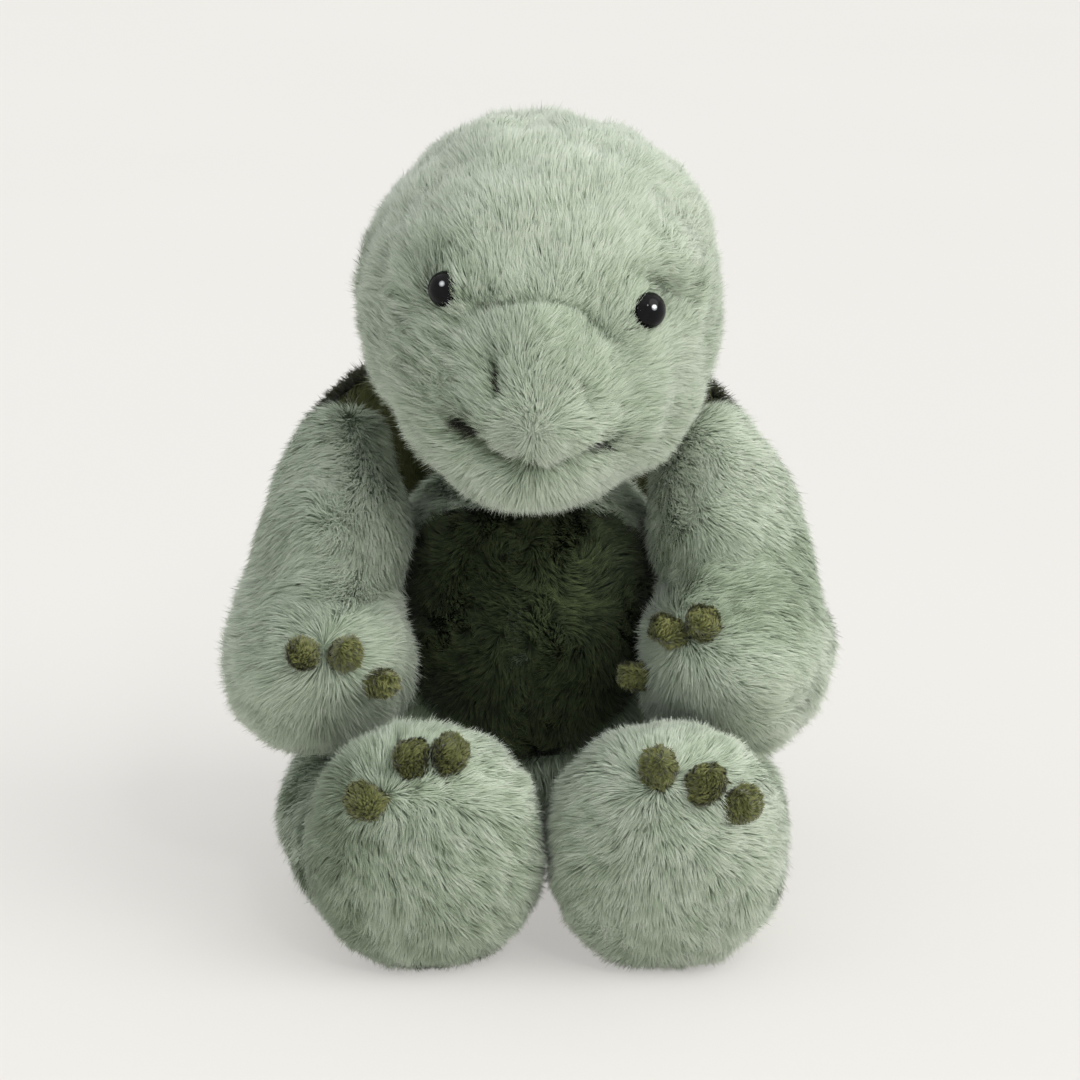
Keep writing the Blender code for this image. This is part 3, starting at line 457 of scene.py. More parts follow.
def covered(points, form, depth):
    """Whether a point lies deeper than this inside another form of the same body."""
    tree = surface_tree(form)
    low, high = form[0].min(axis=0), form[0].max(axis=0)
    inside = np.zeros(len(points), bool)
    for index in np.flatnonzero(((points > low) & (points < high)).all(axis=1)):
        spot, normal, _, gap = tree.find_nearest(Vector(points[index]))
        inside[index] = gap > depth and (Vector(points[index]) - spot).dot(normal) < 0.0
    return inside


def fur(name, base, density, flow, material, body, seed, *, length=STRAND_LENGTH, width=STRAND_WIDTH,
        stand=27.0, lie=76.0, keep=None, under=(), trim=None, rise=None, tint=None, muss=None, wander=0.28,
        pull=0.40, tuft=TUFT_SIZE, tone=0.62):
    """Combed pile on a skin: density is strands per square millimetre, flow gives the way it is combed.

    Each strand leans by stand at its root and by lie at its tip. Over the points given to them, trim scales
    the length and rise the lean, tint adds to the tone, painted light and shade among it, and muss adds to how
    far the comb wanders.
    """
    rng = np.random.default_rng(seed)
    area = sum(face.area for face in base.data.polygons) * 1e6
    roots, normals, spots = scatter(base, int(area * density), rng)
    kept = np.ones(len(roots), bool) if keep is None else keep(spots)
    for form in under:
        kept &= ~covered(roots, form, COVERED_DEPTH)
    roots, normals, spots = roots[kept], normals[kept], spots[kept]
    count = len(roots)
    loose = 0.5 * wander if muss is None else 0.5 * wander + muss(spots)[:, None]
    comb = unit(flow(spots)) + wander * drift(spots, COMB_DRIFT, seed)
    comb += loose * drift(spots, SWIRL_DRIFT, seed + 1)
    comb += rng.normal(scale=COMB_SPREAD, size=(count, 3))
    comb = unit(comb - normals * (comb * normals).sum(axis=1, keepdims=True))
    lift = drift(roots, LIFT_DRIFT, seed + 2)[:, 0] * LIFT_SWING + rng.normal(scale=LIFT_SPREAD, size=count)
    lift -= FLYAWAY_RISE * (rng.random(count) < FLYAWAY_SHARE)
    leaning = np.ones(count) if rise is None else rise(spots)
    reach = length * (1.0 + LENGTH_SWING * drift(roots, LENGTH_DRIFT, seed + 3)[:, 0])
    reach *= rng.uniform(*LENGTH_SHARES, count)
    if trim is not None:
        reach = reach * trim(spots)
    to_tuft = tuft_offset(roots, tuft, seed)
    to_tuft -= normals * (to_tuft * normals).sum(axis=1, keepdims=True)
    levels, ways = [roots], []
    for near, far in zip(STRAND_STEPS, STRAND_STEPS[1:]):
        angle = np.radians((stand + (lie - stand) * (near + far) / 2.0) * leaning + lift)[:, None]
        way = normals * np.cos(angle) + comb * np.sin(angle)
        ways.append(way)
        levels.append(levels[-1] + way * (reach * (far - near))[:, None])
    ways.append(ways[-1])
    levels = [level + to_tuft * (pull * step**1.5) for level, step in zip(levels, STRAND_STEPS)]
    across = unit(np.cross(comb, normals))
    twist = rng.normal(scale=TWIST_SPREAD, size=(count, 1))
    thick = width * rng.uniform(*WIDTH_SHARES, (count, 1)) / 2.0
    halves = [(across * np.cos(twist) + np.cross(way, across) * np.sin(twist)) * thick * taper
              for way, taper in zip(ways, STRAND_TAPER)]
    facing = unit(normals + FACING_COMB_SHARE * comb + rng.normal(scale=FACING_SPREAD, size=(count, 3)))
    shade = np.full(count, tone)
    for number, (swing, size) in enumerate(TONE_DRIFTS, 4):
        shade += swing * drift(roots, size, seed + number)[:, 0]
    shade += rng.normal(scale=TONE_SPREAD, size=count)
    if tint is not None:
        shade += tint(spots)
    pieces = max(1, math.ceil(count / MOST_STRANDS))
    order = np.argsort(roots[:, 0] + 1e-6 * roots[:, 2], kind="stable")
    for number, chosen in enumerate(np.array_split(order, pieces), 1):
        tag = name if pieces == 1 else f"{name}_{number}"
        piece = ribbons(tag, [level[chosen] for level in levels], [half[chosen] for half in halves],
                        facing[chosen], shade[chosen], material)
        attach(piece, body)


def settle(made, **settings):
    """Sets what a node or a lamp is, and those of its sockets that are named, with a capital."""
    for key, value in settings.items():
        if key[0].isupper():
            made.inputs[key.replace("_", " ")].default_value = value
        else:
            setattr(made, key, value)
    return made


def node(tree, kind, **settings):
    return settle(tree.nodes.new("ShaderNode" + kind), **settings)


def join(source, output, target, socket):
    target.id_data.links.new(source.outputs[output], target.inputs[socket])


def join_mix(tree, source, output, first, second, end):
    """Joins a mix of two shaders, by what the source gives, to the end of the tree."""
    mix = node(tree, "MixShader")
    join(source, output, mix, "Fac")
    join(first, 0, mix, 1)
    join(second, 0, mix, 2)
    join(mix, 0, tree.nodes[end], "Surface")


def ramp(tree, *stops):
    made = node(tree, "ValToRGB")
    while len(made.color_ramp.elements) < len(stops):
        made.color_ramp.elements.new(0.5)
    for element, (place, colour) in zip(made.color_ramp.elements, stops):
        element.position = place
        element.color = (*colour, 1.0)
    return made


def grained_ramp(tree, scale, detail, *stops):
    """A noise of this scale over the object's own coordinates, and a ramp that turns it into colours."""
    place, grain = node(tree, "TexCoord"), node(tree, "TexNoise", Scale=scale, Detail=detail)
    colours = ramp(tree, *stops)
    join(place, "Object", grain, "Vector")
    join(grain, "Fac", colours, "Fac")
    return grain, colours


def new_material(name, roughness, sheen=0.0, specular=0.5):
    made = bpy.data.materials.new(name)
    made.use_nodes = True
    shader = made.node_tree.nodes["Principled BSDF"]
    settle(shader, Roughness=roughness, Sheen_Weight=sheen, Specular_IOR_Level=specular)
    return made, made.node_tree, shader


def pile_material(name, deep, root, middle, tip, bright):
    """Strands from dark roots to pale tips, in tones from the painted shade of a crease to the clearest."""
    made, tree, shader = new_material(name, 0.75, sheen=0.25, specular=0.25)
    place, parts = node(tree, "UVMap", uv_map="OFBake"), node(tree, "SeparateXYZ")
    join(place, "UV", parts, "Vector")
    black = tuple(0.25 * value for value in deep)
    shaded = ramp(tree, (0.0, black), (0.5, deep), (1.0, root))
    dull = ramp(tree, (0.0, deep), (0.35, root), (1.0, middle))
    clear = ramp(tree, (0.0, root), (0.35, middle), (0.75, tip), (1.0, bright))
    for colours in (shaded, dull, clear):
        join(parts, "Y", colours, "Fac")
    blended, output = shaded, "Color"
    for colours, low, high in ((dull, 0.02, 0.30), (clear, 0.30, 1.0)):
        part, mix = node(tree, "MapRange", From_Min=low, From_Max=high), node(tree, "Mix", data_type="RGBA")
        join(parts, "X", part, "Value")
        join(part, "Result", mix, "Factor")
        join(blended, output, mix, "A")
        join(colours, "Color", mix, "B")
        blended, output = mix, "Result"
    join(blended, output, shader, "Base Color")
    return made


def cloth_material(name, dark, light, scale=900.0):
    """Knitted backing cloth in the pile's own colour, seen only where the pile parts."""
    made, tree, shader = new_material(name, 0.9, sheen=0.1, specular=0.2)
    grain, colours = grained_ramp(tree, scale, 2.0, (0.35, dark), (0.65, light))
    raised = node(tree, "Bump", Strength=0.4, Distance=0.0006)
    join(colours, "Color", shader, "Base Color")
    join(grain, "Fac", raised, "Height")
    join(raised, "Normal", shader, "Normal")
    return made


def gloss_material():
    """Black gloss with a painted highlight: a soft pale metal spot at a fixed place on the dome."""
    made, tree, shader = new_material("eye_gloss", 0.08, specular=0.14)
    _, tint = grained_ramp(tree, 400.0, 1.0, *EYE_TINT)
    # Painted highlight: the dome's own mask turns a soft spot pale and metallic
    clear = node(tree, "Attribute", attribute_name="painted_highlight")
    painted_highlight_ramp = ramp(tree, *PAINTED_HIGHLIGHT_MASK)
    bright = node(tree, "Mix", data_type="RGBA", B=PAINTED_HIGHLIGHT_COLOUR)
    join(clear, "Fac", painted_highlight_ramp, "Fac")
    join(painted_highlight_ramp, "Color", bright, "Factor")
    join(tint, "Color", bright, "A")
    join(bright, "Result", shader, "Base Color")
    join(painted_highlight_ramp, "Color", shader, "Metallic")
    return made


def make_materials():
    made = {name: (pile_material if len(colours) == 5 else cloth_material)(name, *colours)
            for name, colours in COLOURS.items()}
    made["eye_gloss"] = gloss_material()
    made["washer_plastic"] = cloth_material("washer_plastic", *WASHER_COLOURS, 300.0)
    return made


def head_frame():
    """The head's leaning axes and its centre."""
    lean = math.radians(HEAD_LEAN)
    turn = np.array([[math.cos(lean), 0.0, math.sin(lean)],
                     [0.0, 1.0, 0.0],
                     [-math.sin(lean), 0.0, math.cos(lean)]])
    return turn, NECK_PIVOT + turn @ HEAD_OFFSET


def head_form(detail=6):
    directions, faces = sphere(detail)
    reach = (np.abs(directions / HEAD_HALF) ** HEAD_EXPONENT).sum(axis=1) ** (-1.0 / HEAD_EXPONENT)
    for bearing, pitch, spread, height in HEAD_LOBES:
        angle = np.degrees(np.arccos(np.clip(directions @ toward(bearing, pitch), -1.0, 1.0)))
        reach += height * bump(angle, spread)
    turn, centre = head_frame()
    return (directions * reach[:, None]) @ turn.T + centre, faces


def arm_path(side):
    root = SHOULDER[side]
    start = root + np.array([0.0, 0.0, ARM["root"] + SHOULDER_RISE[side]])
    bend, end = (root + np.array([SIDES[side] * out, -forward, -drop])
                 for out, forward, drop in (ARM["wrist"], ARM["paw"]))

    def centre(share):
        return start * (1 - share) ** 2 + bend * (2 * (1 - share) * share) + end * share**2

    return centre


def arm_form(side):
    def radii(share):
        radius = ARM["root"] + (ARM["end"] - ARM["root"]) * share ** ARM["pear"]
        radius *= swell(share, SHOULDER_EXPONENT[side] if share < 0.5 else ARM["exponent"])
        radius *= 1.0 - ARM["tuck"] * bump(share - ARM["tuck_at"], ARM["tuck_spread"])
        return radius, radius

    return tube(arm_path(side), radii, *ARM_GRID)


def leg_form(side):
    hip, ankle = HIP[side], FOOT[side]
    forward = -ankle[1]

    def centre(share):
        reach = -THIGH["radius"] + (THIGH["radius"] + forward) * share
        inward = (ankle[0] - hip[0]) * (max(0.0, reach) / forward) ** 2
        return np.array([hip[0] + inward, hip[1] - reach, hip[2]])

    def radii(share):
        swollen = swell(share, THIGH["exponent"] if share < 0.5 else THIGH["ankle_exponent"])
        return THIGH["half_width"] * swollen, THIGH["radius"] * swollen

    return tube(centre, radii, *LEG_GRID)


def dome(reach, before, after, exponent):
    """Share of its full size that a form has this far past its widest place, by its reach either way."""
    part = abs(reach) / (after if reach > 0.0 else before)
    return max(0.0, 1.0 - part**exponent) ** (1.0 / exponent)


def foot_form(side):
    def centre(share):
        return FOOT[side] + np.array([0.0, HEEL - (SOLE + HEEL) * share, 0.0])

    def radii(share):
        swollen = dome(HEEL - (SOLE + HEEL) * share, SOLE, HEEL, FOOT_EXPONENT)
        return FOOT_HALF[0] * swollen, FOOT_HALF[1] * swollen

    return tube(centre, radii, *LEG_GRID, FOOT_ROUND)


def body_form():
    def centre(share):
        lean = BODY["belly"] * math.sin(math.pi / 2.0 * min(1.0, share / BODY["lean_share"]))
        return np.array([0.0, BODY["back"] - lean - (BODY["chest"] - BODY["belly"]) * share,
                         BODY["height"] * share - BODY["cut"]])

    def radii(share):
        swollen = swell(share, BODY["exponent"])
        taper = 1.0 + BODY["taper"] * (1.0 - 2.0 * share)
        return BODY["half_width"] * swollen * taper, BODY["half_depth"] * swollen * (0.5 + 0.5 * taper)

    return tube(centre, radii, *BODY_GRID)


def shell_form():
    depth = SHELL["front"] + SHELL["back"]

    def centre(share):
        return np.array([SHELL_ASIDE, SHELL["y"] - SHELL["front"] + depth * share, SHELL["z"]])

    def radii(share):
        swollen = dome(depth * share - SHELL["front"], SHELL["front"], SHELL["back"], SHELL["dome"])
        return SHELL["half_width"] * swollen, SHELL["half_height"] * swollen

    return tube(centre, radii, *SHELL_GRID, SHELL["exponent"])


def tail_form():
    aim = np.array([0.0, math.cos(math.radians(TAIL["tilt"])), math.sin(math.radians(TAIL["tilt"]))])
    root = np.array([0.0, TAIL["y"], TAIL["z"]])

    def centre(share):
        return root + aim * (share * (TAIL["root"] + TAIL["length"]) - TAIL["root"])

    def radii(share):
        radius = TAIL["radius"] * swell(share, TAIL["exponent"]) * (1.0 + TAIL["taper"] * (1.0 - 2.0 * share))
        return radius, radius * TAIL["flat"]

    return tube(centre, radii, *SMALL_GRID)


def neck_form():
    def centre(share):
        return NECK_PIVOT + np.array([0.0, 0.0, NECK["bottom"] + NECK["length"] * share])

    def radii(share):
        radius = NECK["radius"] + NECK["bulge"] * bump(share - NECK["bulge_at"], NECK["bulge_spread"])
        radius *= swell(share, NECK["exponent"])
        return radius, radius

    return tube(centre, radii, *SMALL_GRID)


def in_panel(points, margin=0.0):
    """Whether a point lies within the belly panel's outline, seen from the front."""
    middle = (PANEL["top"] + PANEL["bottom"]) / 2.0
    half = (PANEL["top"] - PANEL["bottom"]) / 2.0 + margin
    v = (points[:, 2] - middle) / half
    narrow = 1.0 - PANEL["narrowing"] * np.clip(-v, 0.0, 1.0) ** 2
    u = points[:, 0] / ((PANEL["half_width"] + margin) * narrow)
    within = np.abs(u) ** PANEL["exponent"] + np.abs(v) ** PANEL["exponent"] < 1.0
    return within & (points[:, 1] < PANEL["back"])


def away(point, down=0.0):
    """Pile combed away from a point, and with it down."""
    def flow(points):
        way = unit(points - np.array(point, float))
        way[:, 2] -= down
        return way

    return flow


def head_flow(nose):
    """Away from the nose's whorl all over the face, and down at the back of the head."""
    def flow(points):
        way = unit(points - nose)
        way[:, 2] -= 1.3 * upper(points[:, 1], -0.01, 0.05)
        return way

    return flow


def shell_flow(points):
    """Outwards over the back, forwards round the rim and inwards in front."""
    back, front = np.array([0.0, 0.130, 0.115]), np.array([0.0, 0.034, 0.108])
    way = unit(points - back) - unit(points - front)
    way[:, 2] -= 0.25
    return way


def arm_flow(side):
    """Down the sleeve, and down from the claws over the paw."""
    claws = arm_path(side)(ARM["paw_at"]) + toward(*PAW_COMB[side]) * 0.034

    def flow(points):
        sleeve = np.array([SLEEVE_ASIDE[side], 0.0, -1.0])
        near = lower(points[:, 2], 0.128, 0.02)[:, None]
        return sleeve * (1.0 - near) + unit(points - claws) * near

    return flow


def surface_tree(form):
    """The form for ray casts, its faces turned outwards."""
    points, faces = form
    bm = bmesh.new()
    corners = [bm.verts.new(point) for point in points]
    for face in faces:
        bm.faces.new([corners[index] for index in face])
    bmesh.ops.recalc_face_normals(bm, faces=bm.faces)
    tree = BVHTree.FromBMesh(bm)
    bm.free()
    return tree


def surface_point(tree, centre, aim):
    spot, normal, _, _ = tree.ray_cast(Vector(centre), Vector(aim))
    return np.array(spot), np.array(normal if normal.dot(Vector(aim)) > 0.0 else -normal)


def set_along(points, direction, origin):
    """Points of a part turned about Z, set on this axis."""
    turn = Vector(direction).to_track_quat("Z", "Y").to_matrix().to_4x4()
    matrix = np.array(Matrix.Translation(Vector(origin)) @ turn)
    return points @ matrix[:3, :3].T + matrix[:3, 3]


def claws(limb, side, form, middle, body, seed):
    """Stuffed nubs of curly cloth, lumpy and close to a box in shape."""
    tree = surface_tree(form)
    directions, faces = sphere(5)
    for place, (bearing, pitch), size in zip(CLAW_NAMES, CLAWS[limb][side], CLAW_SIZES[limb]):
        name = f"{limb}_claw_{place}_{side}"
        seed += 7
        aim = toward(bearing, pitch)
        centre = surface_point(tree, middle, aim)[0] + aim * (CLAW_PROUD - CLAW_LENGTH / 2.0)
        half = np.array([CLAW_RADIUS * size, CLAW_RADIUS * size, CLAW_LENGTH / 2.0])
        reach = (np.abs(directions / half) ** CLAW_EXPONENT).sum(axis=1) ** (-1.0 / CLAW_EXPONENT)
        lumps = np.ones(len(directions))
        for number, (height, spread) in enumerate(CLAW_LUMPS):
            lumps += height * drift(directions, spread, seed + number)[:, 0]
        points = set_along(directions * (reach * lumps)[:, None], aim, centre)
        nub = skin(name + "_nub", (points, faces), "claw_cloth", body, (name,), depth=CLAW_DEPTH)
        fur(name + "_pile", nub, 9.0, away(centre - aim * 0.02), "claw_pile", body, seed, length=0.0021,
            width=0.00040, stand=30.0, lie=88.0, wander=4.0, pull=0.9, tuft=0.0013, tone=CLAW_TONES[limb])


def eye(name, spot, aim, sink, painted_highlight):
    """A gloss dome on its shank, let into the pile. The last argument is the way that the highlight painted on
    its gloss faces.
    """
    rim, sides = -EYE["rim"] - sink, EYE["sides"]
    arc = [(EYE_RADIUS * math.cos(a), rim + EYE["dome"] * math.sin(a))
           for a in np.linspace(0.0, math.pi / 2.0, EYE["rings"] + 1)[:-1]]
    profile = [(EYE["shank"], -EYE["shank_end"]), (EYE["shank"], rim - EYE["under"]),
               (EYE_RADIUS - EYE["bevel"], rim - EYE["under"]), (EYE_RADIUS, rim - EYE["edge"])] + arc
    turn = 2.0 * math.pi * np.arange(sides) / sides
    rings = [np.stack([r * np.cos(turn), r * np.sin(turn), np.full(sides, z)], axis=1) for r, z in profile]
    poles = np.array([[0.0, 0.0, profile[0][1]], [0.0, 0.0, rim + EYE["dome"]]])
    points = set_along(np.vstack(rings + [poles]), aim, spot)
    made = mesh_object(name + "_dome", points, ring_faces(len(rings), sides), look["eye_gloss"])
    _, normals = vertex_arrays(made.data)
    # Painted highlight: a soft spot round that way, which the gloss material turns into pale metal
    facing = np.degrees(np.arccos(np.clip(normals @ painted_highlight, -1.0, 1.0)))
    clear = made.data.attributes.new("painted_highlight", "FLOAT", "POINT")
    clear.data.foreach_set("value", bump(facing, PAINTED_HIGHLIGHT_SPREAD).astype(np.float32))
    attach(made, "head")
    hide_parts(name)


def make_head():
    turn, centre = head_frame()
    tree = surface_tree(head_form(5))

    def place(bearing, pitch):
        return surface_point(tree, centre, turn @ toward(bearing, pitch))

    def line(places):
        return np.array([place(*one)[0] for one in places])

    eyes = {name: place(side * EYE_BEARING, EYE_PITCH) for name, side in SIDES.items()}
    nose = place(*NOSE)[0]
    lines = {name: line(places) for name, places in FACE_LINES.items()}
    brows = [(line(places), depth) for places, depth in BROW_FOLDS]
    valleys = [line(places) for places in MUZZLE_SIDES]
    dents = [(place(bearing, pitch)[0], depth, spread) for bearing, pitch, depth, spread in HEAD_DENTS]
    rough_spots = line(ROUGH_PLACES)

    def below_lip(points):
        """The bearing of each point, and how many degrees it lies below the edge of the upper lip."""
        ways = unit((points - centre) @ turn)
        bearing, pitch = np.degrees(np.arctan2(ways[:, 0], -ways[:, 1])), np.degrees(np.arcsin(ways[:, 2]))
        curve = np.where(bearing < LIP_MIDDLE, LIP_CURVE["right"], LIP_CURVE["left"])
        return bearing, LIP_DROP + curve * (bearing - LIP_MIDDLE) ** 2 - pitch

    def from_opening(points, name):
        """How many half-sizes of the eye's opening each point lies from its middle."""
        wide, high = EYE_OPENING[name]
        gap = (points - eyes[name][0]) @ turn
        return np.hypot(np.hypot(gap[:, 0], gap[:, 1]) / wide, gap[:, 2] / high)

    def sculpt(points):
        bearing, below = below_lip(points)
        front = (points[:, 1] < centre[1]) / (1.0 + np.exp((np.abs(bearing) - LIP_REACH) / LIP_EASE))
        press = 0.0036 * front * upper(below, -1.2, 2.4) * bump(np.maximum(below, 0.0), 5.0)
        press -= 0.0018 * front * bump(below + 5.0, 3.5) + 0.0012 * front * bump(below - 11.0, 4.0)
        for name, (depth, spread) in LINE_PRESS.items():
            press += depth * near_line(points, lines[name], spread)
        for fold, depth in brows:
            above = fold + np.array([0.0, 0.0, BROW_SWELL_RISE])
            press += depth * near_line(points, fold, 0.0036)
            press -= BROW_SWELL_SHARE * depth * near_line(points, above, 0.0070)
        for valley in valleys:
            press += 0.0024 * near_line(points, valley, 0.0075)
        for spot, _ in eyes.values():
            press += 0.0014 * near_spot(points, spot, 0.0150) - 0.0050 * near_spot(points, spot, 0.0070)
        for spot, depth, spread in dents:
            press += depth * near_spot(points, spot, spread)
        press += (CHIN_DEPTH - HEAD_DEPTH) * lower(points[:, 2], 0.180, 0.015)
        return press + 0.0009 * drift(points, 0.030, 5)[:, 0]

    head = skin("head_skin", head_form(), "pale_cloth", "head",
                ("head_cover", "chin_gusset", "head_stuffing"), depth=HEAD_DEPTH, sculpt=sculpt)

    def keep(points):
        clear = from_line(points, lines["nostril_right"]) > NOSTRIL_BARE
        for name in eyes:
            clear &= from_opening(points, name) > 1.0
        return clear

    def trim(points):
        share = np.ones(len(points))
        for name in eyes:
            share *= 1.0 - 0.50 * bump(np.maximum(0.0, from_opening(points, name) - 1.0), 0.75)
        bearing, below = below_lip(points)
        share *= 1.0 - 0.42 * (np.abs(bearing) < LIP_REACH) * bump(below + 1.0, 2.6)
        for name, (part, spread, drop) in LINE_TRIM.items():
            share *= 1.0 - part * near_line(points, lines[name] - np.array([0.0, 0.0, drop]), spread)
        return share

    def rise(points):
        return 1.0 - 0.35 * near_spot(points, nose, NOSE_SPREAD)

    def tint(points):
        bearing, below = below_lip(points)
        # Painted shade: a dark band just below the upper lip's edge, and darker strands along the creases of
        # mouth, nose and bridge and in the brow folds
        lip = (np.abs(bearing) < LIP_REACH) * bump(below - 2.2, 2.4) * np.where(bearing < 3.0, 1.0, 0.55)
        dark = 0.50 * lip
        for name, (share, spread) in LINE_PAINTED_SHADE.items():
            dark += share * near_line(points, lines[name], spread)
        for fold, depth in brows:
            dark += 70.0 * depth * near_line(points, fold, 0.0028)
        pale = 0.22 * bump(below - 10.0, 5.0) * (np.abs(bearing) < 30.0)
        # Painted light: the top of the head is paler
        pale += 0.26 * upper(points[:, 2], 0.235, 0.03)
        rough = lower(bearing, -12.0, 12.0) * lower(points[:, 2], 0.252, 0.02)
        pale += 0.24 * rough * (drift(points, 0.0038, 77)[:, 0] - 0.15)
        # Painted light: the back of the head is paler, which lifts the shade among its strands
        pale += 0.30 * upper(points[:, 1], -0.010, 0.02)
        return pale - dark + 0.25 * near_spot(points, nose, NOSE_SPREAD)

    def muss(points):
        return sum(0.30 * near_spot(points, spot, 0.0220) for spot in rough_spots)

    def whorl(points):
        return np.linalg.norm(points - nose, axis=1) < WHORL_RADIUS

    fur("head_pile", head, 6.0, head_flow(nose), "pale_pile", "head", 11, keep=keep, trim=trim, rise=rise,
        tint=tint, muss=muss, width=0.00026, wander=0.22, pull=0.34)
    fur("nose_pile", head, 12.0, head_flow(nose + np.array([0.0, 0.006, 0.004])), "pale_pile", "head", 12,
        keep=whorl, length=0.0070, stand=25.0, lie=70.0, wander=1.8, pull=0.3, tone=0.85)
    for name, (spot, aim) in eyes.items():
        eye("eye_" + name, spot, aim, EYE_SINK[name], turn @ toward(*EYE_PAINTED_HIGHLIGHT[name]))
        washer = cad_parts["eye_washer_" + name]
        washer.data.materials.clear()
        washer.data.materials.append(look["washer_plastic"])
    for name, (sewn, first, reach, length) in THREADS.items():
        def stitched(points, stitches=lines[sewn][first:], reach=reach):
            return from_line(points, stitches) < reach

        fur(name + "_thread", head, 9.0, head_flow(nose), "mouth_thread", "head", 14, keep=stitched,
            length=length, tone=0.3, wander=0.1)


def make_body():
    body = skin("body_skin", body_form(), "pale_cloth", "torso", ("body_cover", "body_stuffing", "bean_bag"))
    belly = panel_piece(*body_form())
    fur("belly_pile", belly, 6.0, away((-0.002, -0.02, 0.100), down=0.2), "belly_pile", "torso", 21,
        wander=1.0, length=0.0062, stand=12.0, lie=54.0, pull=0.6, tuft=0.0020, tone=0.56, keep=in_panel)
    fur("body_pile", body, 3.0, away((0.0, 0.02, 0.20)), "pale_pile", "torso", 22,
        keep=lambda points: ~in_panel(points, 0.001), under=(shell_form(),))
    shell = skin("shell_skin", shell_form(), "shell_cloth", "torso", ("shell_pad", "shell_stuffing"),
                 depth=SHELL_DEPTH)
    fur("shell_pile", shell, 3.2, shell_flow, "shell_pile", "torso", 23, wander=0.25, width=0.00040,
        stand=26.0, lie=70.0, under=(body_form(),))
    tail = skin("tail_skin", tail_form(), "pale_cloth", "torso", ("tail",), depth=TAIL_DEPTH)
    fur("tail_pile", tail, 4.0, away((0.0, 0.05, 0.02)), "pale_pile", "torso", 24, length=0.0058, tone=0.92,
        under=(body_form(),))
    neck = skin("neck_skin", neck_form(), "pale_cloth", "neck", ("neck",), depth=NECK_DEPTH)
    fur("neck_pile", neck, 3.0, away(NECK_PIVOT + np.array([0.0, 0.0, 0.06])), "pale_pile", "neck", 25,
        length=0.0048)


def panel_piece(points, faces):
    """The belly panel: a shallow cushion of its own, laid on the skin that has these points and faces."""
    shown = in_panel(points, PANEL_MARGIN)
    faces = [face for face in faces if all(shown[corner] for corner in face)]
    used = sorted({corner for face in faces for corner in face})
    index = {corner: i for i, corner in enumerate(used)}
    faces = [tuple(index[corner] for corner in face) for face in faces]
    front = mesh_object("belly_skin", points[used], faces, look["belly_cloth"])
    bm = bmesh.new()
    bm.from_mesh(front.data)
    bmesh.ops.recalc_face_normals(bm, faces=bm.faces)
    if sum(face.normal.y for face in bm.faces) > 0.0:
        bmesh.ops.reverse_faces(bm, faces=bm.faces)
    bm.normal_update()
    corners = np.array([Vector(vert.co) for vert in bm.verts])
    sink = SKIN_DEPTH + SEAM_PRESS * near_line(corners, PANEL_SEAM, SEAM_SPREAD)
    for vert, depth in zip(bm.verts, sink):
        vert.co -= vert.normal * (depth - PANEL_PROUD)
    bmesh.ops.solidify(bm, geom=bm.faces, thickness=PANEL_THICKNESS)
    bm.to_mesh(front.data)
    bm.free()
    spots, normals = vertex_arrays(front.data)
    combed_face[front.name] = spots + normals * SKIN_DEPTH
    front.data.shade_smooth()
    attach(front, "torso")
    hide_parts("belly_panel")
    return front


def make_arm(name, seed):
    body = "arm_" + name
    form = arm_form(name)
    left = name == "left"
    ends, ends_painted_light = ARM_END_ON[name]

    def sculpt(points):
        press = 0.0008 * drift(points, 0.035, seed)[:, 0]
        press += (PAW_DEPTH - SKIN_DEPTH) * lower(points[:, 2], 0.130, 0.02)
        for line, depth, spread in ARM_CREASES[name]:
            press += depth * near_line(points, line, spread)
        for spot, depth, spread in ARM_DENTS[name]:
            press += depth * near_spot(points, np.array(spot), spread)
        return press

    arm = skin(body + "_skin", form, "pale_cloth", body, (body, body + "_stuffing"), sculpt=sculpt)

    def trim(points):
        share = 1.0 + 0.15 * lower(points[:, 2], 0.108, 0.015)
        for line, _, spread in ARM_CREASES[name]:
            share *= 1.0 - 0.30 * near_line(points, line, spread)
        return share

    def tint(points):
        height = points[:, 2]
        # Painted light: the paw is paler, more on the lit left arm, and so is the upper left arm
        pale = PAW_PAINTED_LIGHT[name] * lower(height, 0.120, 0.02)
        pale += left * 0.26 * upper(height, 0.120, 0.02)
        # Painted shade: dark bands in the folds above the left wrist
        pale -= left * (0.42 * bump(height - 0.126, 0.014) + 0.24 * bump(height - 0.144, 0.014))
        # Painted light: the back is paler, the lit left paw's lower end more so, and strands seen end-on from
        # the front are paler where their shade shows
        pale += 0.20 * upper(points[:, 1], 0.005, 0.02)
        pale += left * 0.36 * lower(height, 0.095, 0.02)
        pale += ends_painted_light * near_line(points, ends, 0.014)
        # Painted shade: darker on the inner side, between arm and body, and along the creases
        inner = lower(np.abs(points[:, 0]), abs(SHOULDER[name][0]), 0.02)
        pale -= 0.06 * inner * bump(height - 0.135, 0.022)
        for line, depth, spread in ARM_CREASES[name]:
            pale -= 60.0 * depth * near_line(points, line, spread * 0.7)
        return pale

    dense, wide, stand = ARM_PILE[name]
    fur(body + "_pile", arm, dense, arm_flow(name), "pale_pile", body, seed, trim=trim, tint=tint, width=wide,
        stand=stand, lie=80.0, wander=0.20, pull=0.26)
    claws("paw", name, form, arm_path(name)(ARM["paw_at"]), body, seed)


